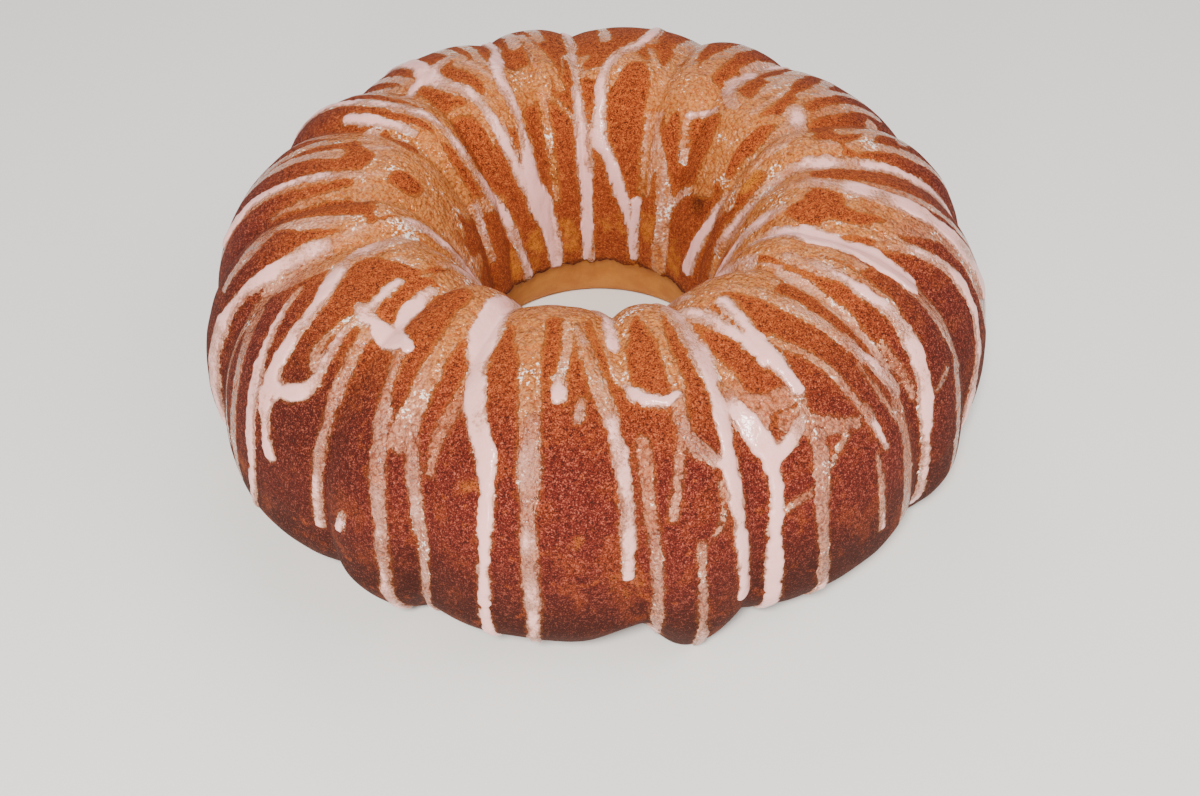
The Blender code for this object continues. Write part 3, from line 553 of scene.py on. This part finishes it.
crust_angles = np.linspace(-180.0, 180.0, CRUST_COLUMNS, endpoint=False)
crust_shares = np.linspace(0.0, 1.0, CRUST_ROWS)
angle_grid, share_grid = np.meshgrid(crust_angles, crust_shares)
crust_points = crust_place(angle_grid, share_grid, crust_relief(angle_grid, share_grid))

all_runs = (*RUNS, *unseen_runs(**HOLE_RUNS))
all_films = (*FILMS, *unseen_runs(**BACK_FILMS))
film_depth, film_white = run_field(crust_angles, crust_shares, all_films, FILM_ROUGH, FILM_SEED)
run_depth, run_white = run_field(crust_angles, crust_shares, all_runs, RUN_ROUGH, RUN_SEED)
film_white = np.where(run_depth > film_depth, run_white, film_white)
film_depth = np.maximum(film_depth, run_depth)

# The crown's own film: a band round the top, broader at the two sides, torn by random fields and
# open at its bare places, with pale streaks that lean across it
CROWN_FILM_SHARE = 0.635
CROWN_FILM_SHIFT = 0.06
CROWN_FILM_HALF = 0.030
CROWN_FILM_WIDER = 0.060
CROWN_FILM_DEPTH = 0.0012
CROWN_FILM_WHITE = 0.22
CROWN_TEARS = ((0.028, 46, 14, 71), (0.020, 130, 36, 72))
WINDOW_SLOPE = 0.8
WINDOW_TEAR = 0.05
STREAK_WHITE = 0.38
STREAK_LEAN = 25.0
STREAK_GRID = (190, 7, 81)
STREAK_START = 0.40
STREAK_RISE = 0.15
STREAK_LEAST = 0.2


def from_spot(spot_angle, spot_share, half_angle, half_share):
    """Way from a spot's middle to each point of the crust, as a part of the spot's half sizes."""
    return np.hypot(apart(angle_grid, spot_angle) / half_angle, (share_grid * 100 - spot_share) / half_share)


sideways = np.cos(np.radians(angle_grid)) ** 2
band_middle = CROWN_FILM_SHARE + CROWN_FILM_SHIFT * sideways
band_half = CROWN_FILM_HALF + CROWN_FILM_WIDER * sideways
torn = fields(angle_grid, share_grid, CROWN_TEARS)
crown_film = (band_half - np.abs(share_grid - band_middle) + torn) * CRUST_LENGTH
for spot in WINDOWS:
    window = (from_spot(*spot) - 1.0) * spot[3] / 100 * CRUST_LENGTH * WINDOW_SLOPE
    crown_film = np.minimum(crown_film, window + torn * WINDOW_TEAR)
film_white = np.where(crown_film > film_depth, CROWN_FILM_WHITE, film_white)
film_depth = np.maximum(film_depth, np.minimum(crown_film, CROWN_FILM_DEPTH))
streaks = STREAK_WHITE * uneven(angle_grid + STREAK_LEAN * share_grid, share_grid, *STREAK_GRID)
film_white = film_white + streaks * np.clip((share_grid - STREAK_START) / STREAK_RISE, STREAK_LEAST, 1.0)

# The pale wall and the underside: rings of a radius and level, and how far the crust's ragged end
# moves both; then the browned rise to the outer edge, as parts of the way out and up
PALE_LEDGE = 0.0016
PALE_RADIUS = 0.0405
REST_INNER_RADIUS = 0.0475
REST_OUTER_RADIUS = 0.100
UNDER_RINGS = (
    (HOLE_RADIUS + PALE_LEDGE / 2, CRUST_END_LEVEL - PALE_LEDGE / 2, 0.0, 1.0),
    (HOLE_RADIUS + PALE_LEDGE, CRUST_END_LEVEL - PALE_LEDGE, 0.3, 0.6),
    (PALE_RADIUS - 0.0012, CRUST_END_LEVEL * 0.72, 0.2, 0.0),
    (PALE_RADIUS, CRUST_END_LEVEL * 0.5, 0.0, 0.0),
    (PALE_RADIUS + 0.0021, CRUST_END_LEVEL * 0.25, 0.0, 0.0),
    (PALE_RADIUS + 0.0044, CRUST_END_LEVEL * 0.08, 0.0, 0.0),
    (REST_INNER_RADIUS, 0.0, 0.0, 0.0),
    (REST_OUTER_RADIUS, 0.0, 0.0, 0.0),
)
EDGE_RISE = ((0.62, 0.35), (0.93, 0.80))
BROWNED_RINGS = 3
# How far the last two rows of the crust follow its ragged end
END_ROW_MOVES = (0.8, 1.6)

ragged = fields(crust_angles, 0.5, RAGGED_END)
crust_points[-2:, :, 2] += np.outer(END_ROW_MOVES, ragged)
edge_r = np.hypot(crust_points[0, :, 0], crust_points[0, :, 1])
edge_z = crust_points[0, :, 2]
under_rings = [polar(crust_angles, radius + out * ragged, level + up * ragged)
               for radius, level, out, up in UNDER_RINGS]
under_rings += [polar(crust_angles, REST_OUTER_RADIUS + (edge_r - REST_OUTER_RADIUS) * out, edge_z * up)
                for out, up in EDGE_RISE]
crust_all = np.concatenate([crust_points, under_rings])
row_total = len(crust_all)
i, j = np.indices((row_total, CRUST_COLUMNS)).reshape(2, -1)
crust = mesh_from("crust", crust_all.reshape(-1, 3), cell_quads(i, j, row_total, CRUST_COLUMNS))

# How golden and how dark the crust is: a golden lip at its foot, a painted shadow line at its end
# in the hole, under its overhanging edge, and the tones between
SHADOW_LINE_SHARE = 0.988
LIP_SHARE = 0.014
LIP_GOLD = 0.75

gold = LIP_GOLD * step(share_grid, LIP_SHARE, 0.0)
# The dark line at the crust's end is painted shadow from its overhang
dark = step(share_grid, SHADOW_LINE_SHARE, 1.0)
for *spot, amount in TONES:
    tone = amount * np.exp(-from_spot(*spot) ** TONE_POWER)
    gold = np.maximum(gold, tone)
    dark = np.maximum(dark, -tone)

# What the material reads at each point; the depth of icing is in millimetres, and the rings
# below the crust are pale but for the browned ones
none_under = np.zeros((len(under_rings), CRUST_COLUMNS))
pale_under = none_under + 1.0
pale_under[-BROWNED_RINGS:] = 0.0
for name, values, values_under in (
        ("film", film_depth * 1000, none_under + FAR_OUTSIDE * 1000),
        ("share", share_grid, pale_under),
        ("pale", np.zeros(share_grid.shape), pale_under),
        ("gold", gold, none_under),
        ("dark", dark, none_under),
        ("white", film_white, none_under)):
    point_values(crust, name, np.concatenate([values, values_under]))

OUTER_COLOUR = (0.104, 0.008, 0.005)
# Deep brown of the foot: partly browning, partly painted shade that falls on the lower wall
DEEP_BROWN_AND_SHADE_COLOUR = (0.016, 0.001, 0.001)
CROWN_COLOUR = (0.285, 0.046, 0.007)
INNER_COLOUR = (0.26, 0.043, 0.01)
GOLD_COLOUR = (0.6, 0.19, 0.014)
PALE_COLOUR = (0.5, 0.195, 0.034)
PALE_DARK_COLOUR = (0.3, 0.08, 0.014)
PIT_COLOUR = (0.016, 0.002, 0.002)
BLOTCH_COLOUR = (0.23, 0.036, 0.006)
WALL_GRAIN = (0.5, 0.13, 0.08)
CROWN_GRAIN = (0.64, 0.18, 0.036)
FILM_GOLD = (0.59, 0.24, 0.066)
FILM_PINK = (0.5, 0.19, 0.1)
MILKY_FILM = (0.67, 0.345, 0.25)
RIM_COLOUR = (0.76, 0.4, 0.24)
FRINGE_COLOUR = (0.45, 0.13, 0.014)
CRYSTAL_AND_GLINT_COLOUR = (0.95, 0.82, 0.75)
# Noises: scale, detail and roughness
BROAD_NOISE = (24.0, 3.0, 0.55)
PATCH_NOISE = (95.0, 3.0, 0.6)
FLECK_NOISE = (260.0, 2.0, 0.5)
CLUMP_NOISE = (900.0, 2.0, 0.6)
GRAIN_NOISE = (2400.0, 2.0, 0.7)
EDGE_NOISE = (1000.0, 2.0, 0.65)
CLOUD_NOISE = (75.0, 3.0, 0.6)
LUMP_NOISE = (340.0, 1.0, 0.5)
VEIN_NOISE = (950.0, 2.0, 0.6)
PEBBLE_SCALE = 620.0
# Heights of the crumb and of the thin icing's skin, lumps and pebbles
CRUMB_HEIGHT = 0.0006
SKIN_HEIGHT = 0.00010
LUMP_HEIGHT = 0.0015
PEBBLE_HEIGHT = 0.00022


def give(socket, value):
    """Gives a socket its value: a link from another socket, or a number or colour."""
    if isinstance(value, tuple):
        socket.default_value = (*value, 1.0)
    elif isinstance(value, (int, float)):
        socket.default_value = value
    else:
        socket.id_data.links.new(value, socket)


def set_sockets(node, values):
    """Sets a node's sockets to plain values, by name."""
    for name, value in values.items():
        node.inputs[name].default_value = value


def node_on(kind, *values):
    """A new node in the tree that holds the sockets among some values."""
    tree = next(value.id_data for value in values if isinstance(value, bpy.types.NodeSocket))
    return tree.nodes.new(kind)


def ramp(value, low, high):
    """Eased step of a value from 0 at low to 1 at high."""
    node = node_on("ShaderNodeMapRange", value)
    node.interpolation_type = "SMOOTHSTEP"
    set_sockets(node, {"From Min": low, "From Max": high})
    give(node.inputs["Value"], value)
    return node.outputs["Result"]


def maths(operation, first, second):
    """One sum on two values, each a socket or a number."""
    node = node_on("ShaderNodeMath", first, second)
    node.operation = operation
    give(node.inputs[0], first)
    give(node.inputs[1], second)
    return node.outputs[0]


plus = partial(maths, "ADD")
minus = partial(maths, "SUBTRACT")
times = partial(maths, "MULTIPLY")


def swing(value, size):
    """A noise value moved to swing evenly about nought, times a size."""
    return times(minus(value, 0.5), size)


def layered(colour, *layers):
    """A colour with others laid over it in turn, each a part to mix in and a colour."""
    for part, layer in layers:
        node = node_on("ShaderNodeMix", part)
        node.data_type = "RGBA"
        give(node.inputs[0], part)
        give(node.inputs[6], colour)
        give(node.inputs[7], layer)
        colour = node.outputs[2]
    return colour


def noise(place, scale, detail, roughness):
    """Noise value at a place."""
    node = node_on("ShaderNodeTexNoise", place)
    set_sockets(node, {"Scale": scale, "Detail": detail, "Roughness": roughness})
    give(node.inputs["Vector"], place)
    return node.outputs["Fac"]


def pebbles(place, scale):
    """Way to the nearest edge of a net of random cells."""
    node = node_on("ShaderNodeTexVoronoi", place)
    node.feature = "DISTANCE_TO_EDGE"
    set_sockets(node, {"Scale": scale})
    give(node.inputs["Vector"], place)
    return node.outputs["Distance"]


def attribute(tree, name):
    """A number stored on the mesh's points."""
    node = tree.nodes.new("ShaderNodeAttribute")
    node.attribute_name = name
    return node.outputs["Fac"]


def new_material(name):
    """A node material, its tree and its Principled shader."""
    material = bpy.data.materials.new(name)
    material.use_nodes = True
    return material, material.node_tree, material.node_tree.nodes["Principled BSDF"]


def new_group(name, inputs, outputs):
    """A node group with sockets of the kinds named, and the sockets inside it that hold what it
    is given and take what it puts out."""
    group = bpy.data.node_groups.new(name, "ShaderNodeTree")
    for way, sockets in (("INPUT", inputs), ("OUTPUT", outputs)):
        for socket_name, kind in sockets.items():
            group.interface.new_socket(socket_name, in_out=way, socket_type="NodeSocket" + kind)
    given = group.nodes.new("NodeGroupInput").outputs
    return group, given, group.nodes.new("NodeGroupOutput").inputs


def place_group(tree, group, **values):
    """A node group placed in a tree with its inputs linked or set."""
    node = tree.nodes.new("ShaderNodeGroup")
    node.node_tree = group
    for name, value in values.items():
        give(node.inputs[name], value)
    return node


# The browned crumb of the crust: its colour by the way over the cake, deepest brown at the foot,
# where shade is painted in too, specked with dark pits and bright grains, and the height of its
# grain. Each ramp's ends are a share or a noise's level.
crumb_group, given, result = new_group(
    "browned crumb with painted shade", {"Place": "Vector", "Share": "Float", "Gold": "Float", "Dark": "Float", "Pale": "Float"},
    {"Colour": "Color", "Height": "Float"})
place = given["Place"]
broad_noise = noise(place, *BROAD_NOISE)
patch_noise = noise(place, *PATCH_NOISE)
fleck_noise = noise(place, *FLECK_NOISE)
clump_noise = noise(place, *CLUMP_NOISE)
grain_noise = noise(place, *GRAIN_NOISE)
shaken = plus(given["Share"], swing(broad_noise, 0.16))
golden = plus(plus(given["Gold"], swing(patch_noise, 1.8)), swing(fleck_noise, 1.0))
pale_colour = layered(PALE_COLOUR, (times(ramp(patch_noise, 0.35, 0.70), 0.5), PALE_DARK_COLOUR))
crust_only = minus(1.0, times(given["Pale"], 0.85))
crumb_mix = plus(times(clump_noise, 0.32), times(grain_noise, 0.68))
pit_part = minus(0.92, times(ramp(shaken, 0.70, 0.85), 0.35))
pits = times(ramp(crumb_mix, 0.515, 0.40), pit_part)
grain_part = plus(0.30, times(ramp(shaken, 0.05, 0.32), 0.38))
grain_part = times(grain_part, minus(1.0, times(given["Dark"], 0.45)))
grains = times(ramp(crumb_mix, 0.52, 0.64), grain_part)
grain_colour = layered(WALL_GRAIN, (ramp(shaken, 0.30, 0.60), CROWN_GRAIN))
# From the foot up, the deep brown (partly painted shade) gives way to the wall's and crown's colours
colour = layered(
    DEEP_BROWN_AND_SHADE_COLOUR,
    (ramp(shaken, 0.06, 0.26), OUTER_COLOUR),
    (ramp(shaken, 0.34, 0.56), CROWN_COLOUR),
    (ramp(shaken, 0.66, 0.82), INNER_COLOUR),
    (ramp(golden, 0.40, 1.10), GOLD_COLOUR),
    (times(ramp(patch_noise, 0.50, 0.66), 0.50), BLOTCH_COLOUR),
    (times(ramp(fleck_noise, 0.62, 0.72), 0.65), CROWN_COLOUR),
    # Darker tones, and the painted shadow line at the crust's end
    (times(given["Dark"], 0.8), DEEP_BROWN_AND_SHADE_COLOUR),
    (ramp(given["Pale"], 0.4, 0.9), pale_colour),
    (times(pits, crust_only), PIT_COLOUR),
    (times(grains, crust_only), grain_colour))
give(result["Colour"], colour)
give(result["Height"], times(crumb_mix, crust_only))

# Thin icing soaked over the crumb: see-through and golden on the crown, pinker down the wall,
# with a paler rim and a wet pebbled surface. Its white flecks are sugar crystals and painted glints.
film_group, given, result = new_group(
    "thin icing", {"Place": "Vector", "Share": "Float", "Depth": "Float", "White": "Float",
                   "Crumb Colour": "Color", "Crumb Height": "Float"},
    {"Colour": "Color", "Wet": "Float", "Height": "Float"})
place = given["Place"]
edge_noise = noise(place, *EDGE_NOISE)
cloud_noise = noise(place, *CLOUD_NOISE)
lump_noise = noise(place, *LUMP_NOISE)
vein_noise = noise(place, *VEIN_NOISE)
depth_shaken = plus(given["Depth"], swing(edge_noise, 2.4))
wet = ramp(depth_shaken, 0.0, 0.35)
pink_part = ramp(plus(given["Share"], swing(cloud_noise, 0.30)), 0.56, 0.38)
white_part = ramp(plus(given["White"], swing(cloud_noise, 0.7)), 0.25, 1.05)
fringe = times(ramp(depth_shaken, -1.1, 0.1), minus(0.42, times(pink_part, 0.28)))
film_colour = layered(FILM_GOLD, (pink_part, FILM_PINK), (times(white_part, 0.85), MILKY_FILM))
lumps = ramp(plus(vein_noise, swing(lump_noise, 0.5)), 0.40, 0.56)
cover = plus(0.16, times(pink_part, 0.10))
cover = plus(cover, times(ramp(cloud_noise, 0.36, 0.66), 0.16))
cover = plus(cover, times(white_part, 0.26))
cover = plus(cover, times(lumps, 0.34))
pebble = plus(pebbles(place, PEBBLE_SCALE), swing(vein_noise, 0.55))
seams = times(times(wet, ramp(pebble, 0.13, 0.01)), minus(0.54, times(white_part, 0.35)))
rim = times(wet, ramp(depth_shaken, 0.95, 0.35))
rim = times(rim, times(ramp(cloud_noise, 0.48, 0.62), 0.40))
# White flecks: partly sugar crystals, partly painted glints of the wet icing, in clusters
crystals_and_glints = times(ramp(plus(vein_noise, swing(cloud_noise, 1.15)), 0.72, 0.78), 0.90)
colour = layered(
    given["Crumb Colour"],
    (fringe, FRINGE_COLOUR),
    (times(wet, cover), film_colour),
    (seams, given["Crumb Colour"]),
    (rim, RIM_COLOUR),
    (times(wet, crystals_and_glints), CRYSTAL_AND_GLINT_COLOUR))
crumb_height = times(given["Crumb Height"], times(minus(1.0, times(wet, 0.75)), CRUMB_HEIGHT))
film_height = plus(SKIN_HEIGHT, times(lump_noise, LUMP_HEIGHT))
film_height = plus(film_height, times(ramp(pebble, 0.0, 0.3), PEBBLE_HEIGHT))
give(result["Colour"], colour)
give(result["Wet"], wet)
give(result["Height"], plus(crumb_height, times(wet, film_height)))


def iced_crumb(tree, depth, white, gold, dark, pale):
    """The browned crumb with the thin icing over it, placed in a material; gives the icing's node."""
    place = tree.nodes.new("ShaderNodeTexCoord").outputs["Object"]
    share = attribute(tree, "share")
    crumb = place_group(tree, crumb_group, Place=place, Share=share, Gold=gold, Dark=dark, Pale=pale)
    film = place_group(tree, film_group, Place=place, Share=share, Depth=depth, White=white)
    give(film.inputs["Crumb Colour"], crumb.outputs["Colour"])
    give(film.inputs["Crumb Height"], crumb.outputs["Height"])
    return film


def finish_surface(shader, colour, roughness, height):
    """Links a surface's colour, its roughness and the bump of a height in metres."""
    bump = node_on("ShaderNodeBump", height)
    set_sockets(bump, {"Strength": 1.0, "Distance": 1.0})
    give(bump.inputs["Height"], height)
    give(shader.inputs["Base Color"], colour)
    give(shader.inputs["Roughness"], roughness)
    give(shader.inputs["Normal"], bump.outputs["Normal"])


crust_material, tree, shader = new_material("crust")
film = iced_crumb(tree, *(attribute(tree, name) for name in ("film", "white", "gold", "dark", "pale")))
roughness = minus(0.90, times(film.outputs["Wet"], 0.80))
finish_surface(shader, film.outputs["Colour"], roughness, film.outputs["Height"])
set_sockets(shader, {
    "Specular IOR Level": 0.45, "Specular Tint": (1.0, 0.52, 0.38, 1.0), "Subsurface Weight": 0.10,
    "Subsurface Radius": (0.0025, 0.0008, 0.0004), "Subsurface Scale": 0.5})
crust.data.materials.append(crust_material)
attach(crust, "root")
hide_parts("bundt_cake")


# Thick icing: sugar icing spooned over the crown while it was runny. It slid down the flutes and
# into the hole in long runs and set where it was, some ending in a rounded drop. It stands about
# a millimetre proud of the crust and lies a little way into it.
ICING_COLUMNS = 1120
ICING_ROWS = 280
ICING_ROUGH = 0.0005
ICING_SEED = 51
ICING_HEIGHT = 0.0011
ICING_EDGE = 0.0013
ICING_CROWN_EDGE = 0.0022
ICING_SINK = 0.0011
ICING_EDGE_SINK = 0.0002
DOME_POWER = 0.8
THIN_PART = 0.55
CROWN_THINNING = 0.20
# Shares over which the crown's thinner icing with its softer edge comes in and goes out
CROWN_BEGINS = (0.44, 0.58)
CROWN_ENDS = (0.84, 0.72)
WHITE_FIELD = ((0.16, 90, 26, 62),)
HEIGHT_FIELD = ((0.16, 160, 46, 61),)
LEAST_SLOPE = 0.4
SNAP_REACH = 0.0012
# The icing is parted into four pieces at these angles; a piece's number counts those before it
SIDE_STARTS = (180.0, 240.0, 300.0)
ICING_SIDES = ((1, "left"), (2, "front"), (3, "right"), (0, "back"))


def connected(mask):
    """Numbers the joined patches of a mask: every cell takes the highest number beside it, over
    and over, until nothing changes."""
    label = np.where(mask, np.arange(1, mask.size + 1).reshape(mask.shape), 0)
    while True:
        grown = np.maximum(label, np.roll(label, 1, axis=1))
        grown = np.maximum(grown, np.roll(label, -1, axis=1))
        grown[1:] = np.maximum(grown[1:], label[:-1])
        grown[:-1] = np.maximum(grown[:-1], label[1:])
        grown = np.where(mask, grown, 0)
        if (grown == label).all():
            return label
        label = grown


icing_angles = np.linspace(-180.0, 180.0, ICING_COLUMNS, endpoint=False)
icing_shares = np.linspace(0.0, 1.0, ICING_ROWS)
icing_depth, icing_white = run_field(icing_angles, icing_shares, all_runs, ICING_ROUGH, ICING_SEED)
inside = icing_depth > 0.0
cell = inside[:-1] | inside[1:]
cell = cell | np.roll(cell, -1, axis=1)

# Points outside the icing's edge slide down the slope of the depth onto it, so that the edge is
# smooth; from there the icing rises as a dome to its full height, more gently on the crown
angle_grid, share_grid = np.meshgrid(icing_angles, icing_shares)
scale = np.radians(radius_at(icing_shares))[:, None]
across = (np.roll(icing_depth, -1, axis=1) - np.roll(icing_depth, 1, axis=1)) / 2
slope_x = across / (360.0 / ICING_COLUMNS * scale)
slope_y = np.gradient(icing_depth, axis=0) * (ICING_ROWS - 1) / CRUST_LENGTH
steep = np.maximum(np.hypot(slope_x, slope_y), LEAST_SLOPE)
move = np.clip(-icing_depth, 0.0, SNAP_REACH) / steep
snapped_angle = angle_grid + slope_x / steep * move / scale
snapped_share = np.clip(share_grid + slope_y / steep * move / CRUST_LENGTH, 0.0, 1.0)
crown = step(share_grid, *CROWN_BEGINS) * step(share_grid, *CROWN_ENDS)
dome = np.sin(step(icing_depth, 0.0, ICING_EDGE + ICING_CROWN_EDGE * crown) * math.pi / 2) ** DOME_POWER
icing_white = icing_white + fields(angle_grid, share_grid, WHITE_FIELD)
thickness = ICING_HEIGHT * dome * (THIN_PART + (1.0 - THIN_PART) * np.clip(icing_white, 0.0, 1.0))
thickness = thickness * (1.0 + fields(angle_grid, share_grid, HEIGHT_FIELD)) * (1.0 - CROWN_THINNING * crown)
relief = crust_relief(snapped_angle, snapped_share)
icing_top = crust_place(snapped_angle, snapped_share, relief + thickness - ICING_EDGE_SINK)
icing_bottom = crust_place(snapped_angle, snapped_share, relief - ICING_SINK)


def icing_piece(name, cells):
    """One closed piece of icing over the marked cells: top, underside and a wall at the border."""
    quads = cell_quads(*np.nonzero(cells), ICING_ROWS, ICING_COLUMNS)
    used = np.unique(quads)
    count = len(used)
    order = np.full(ICING_ROWS * ICING_COLUMNS, -1)
    order[used] = np.arange(count)
    top = order[quads]
    edges = np.concatenate([top[:, [k, (k + 1) % 4]] for k in range(4)])
    forward = edges[:, 0] * (2 * count) + edges[:, 1]
    backward = edges[:, 1] * (2 * count) + edges[:, 0]
    border = edges[~np.isin(forward, backward)]
    wall = np.concatenate([border[:, ::-1], border + count], axis=1)
    points = np.concatenate([icing_top.reshape(-1, 3)[used], icing_bottom.reshape(-1, 3)[used]])
    piece = mesh_from(name, points, np.concatenate([top, top[:, ::-1] + count, wall]))
    body = thickness.ravel()[used] * 1000
    point_values(piece, "body", np.concatenate([body, np.zeros(count)]))
    point_values(piece, "white", np.tile(icing_white.ravel()[used], 2))
    point_values(piece, "share", np.tile(share_grid.ravel()[used], 2))
    return piece


PALE_ICING = (0.72, 0.35, 0.26)
FULL_ICING = (0.84, 0.44, 0.412)
ICING_CLOUD_NOISE = (85.0, 3.0, 0.6)
ICING_FINE_NOISE = (900.0, 3.0, 0.7)

icing_material, tree, shader = new_material("icing")
body_value = attribute(tree, "body")
white_value = attribute(tree, "white")
film = iced_crumb(tree, minus(times(body_value, 2.6), 0.35), white_value, 0.0, 0.0, 0.0)
place = tree.nodes.new("ShaderNodeTexCoord").outputs["Object"]
body_shaken = plus(body_value, swing(noise(place, *ICING_CLOUD_NOISE), 0.8))
body_shaken = plus(body_shaken, swing(noise(place, *ICING_FINE_NOISE), 0.9))
body_shaken = plus(body_shaken, times(minus(white_value, 0.75), 2.0))
cover = ramp(body_shaken, 0.30, 0.90)
icing_colour = layered(PALE_ICING, (ramp(body_shaken, 0.55, 1.15), FULL_ICING))
roughness = plus(0.20, times(minus(1.0, film.outputs["Wet"]), 0.6))
see_through = minus(1.0, times(cover, 0.85))
finish_surface(shader, layered(film.outputs["Colour"], (times(cover, 0.96), icing_colour)), roughness,
               times(film.outputs["Height"], see_through))
set_sockets(shader, {
    "Specular IOR Level": 0.45, "Subsurface Weight": 0.25,
    "Subsurface Radius": (0.0016, 0.0008, 0.0006), "Subsurface Scale": 1.0})

# Each patch goes to the side that its mean angle lies on
patch = np.unique(connected(cell), return_inverse=True)[1]
turn = np.radians(angle_grid[:-1]).ravel()
mean_y = np.bincount(patch.ravel(), np.sin(turn))
mean_x = np.bincount(patch.ravel(), np.cos(turn))
patch_side = np.digitize(np.degrees(np.arctan2(mean_y, mean_x)) % 360.0, SIDE_STARTS)
side_grid = patch_side[patch.reshape(cell.shape)]
for side, side_name in ICING_SIDES:
    piece = icing_piece("icing_" + side_name, cell & (side_grid == side))
    piece.data.materials.append(icing_material)
    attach(piece, "root")
    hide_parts("bundt_cake")


# Floor and lights of a plain studio: a pale floor, a small soft key light above the front, a broad
# fill from the right, a low light in front and a rim light behind, and a pale room.
FLOOR_SIZE = 3.0
FLOOR_COLOUR = (0.80, 0.785, 0.765, 1.0)
ROOM_COLOUR = (0.95, 0.96, 1.0, 1.0)
ROOM_STRENGTH = 0.28
# Name, place, what it faces, size, watts and colour of each light
LIGHTS = (
    ("key", (-0.12, -0.75, 0.92), (0.0, 0.0, 0.04), 0.20, 23.0, (1.0, 0.96, 0.90)),
    ("fill", (0.9, -0.2, 0.9), (0.0, 0.0, 0.04), 0.8, 7.0, (1.0, 0.97, 0.93)),
    ("low", (-0.18, -1.05, 0.26), (0.0, 0.0, 0.05), 0.16, 5.5, (1.0, 0.97, 0.93)),
    ("rim", (-0.1, 0.9, 0.8), (0.0, 0.0, 0.05), 0.7, 5.0, (1.0, 0.98, 0.97)),
)

floor_mesh = bpy.data.meshes.new("floor")
corners = [(x * FLOOR_SIZE, y * FLOOR_SIZE, 0.0) for x, y in ((-1, -1), (1, -1), (1, 1), (-1, 1))]
floor_mesh.from_pydata(corners, [], [(0, 1, 2, 3)])
floor = bpy.data.objects.new("floor", floor_mesh)
bpy.context.scene.collection.objects.link(floor)
floor_material, tree, shader = new_material("floor")
set_sockets(shader, {"Base Color": FLOOR_COLOUR, "Roughness": 0.7})
floor.data.materials.append(floor_material)

for name, place, target, size, watts, light_colour in LIGHTS:
    light = bpy.data.lights.new(name, "AREA")
    light.size = size
    light.energy = watts
    light.color = light_colour
    lamp = bpy.data.objects.new(name, light)
    lamp.matrix_world = Matrix.Translation(Vector(place)) @ aim(Vector(target) - Vector(place), 0.0)
    bpy.context.scene.collection.objects.link(lamp)
world = bpy.data.worlds.new("studio")
world.use_nodes = True
set_sockets(world.node_tree.nodes["Background"], {"Color": ROOM_COLOUR, "Strength": ROOM_STRENGTH})
bpy.context.scene.world = world
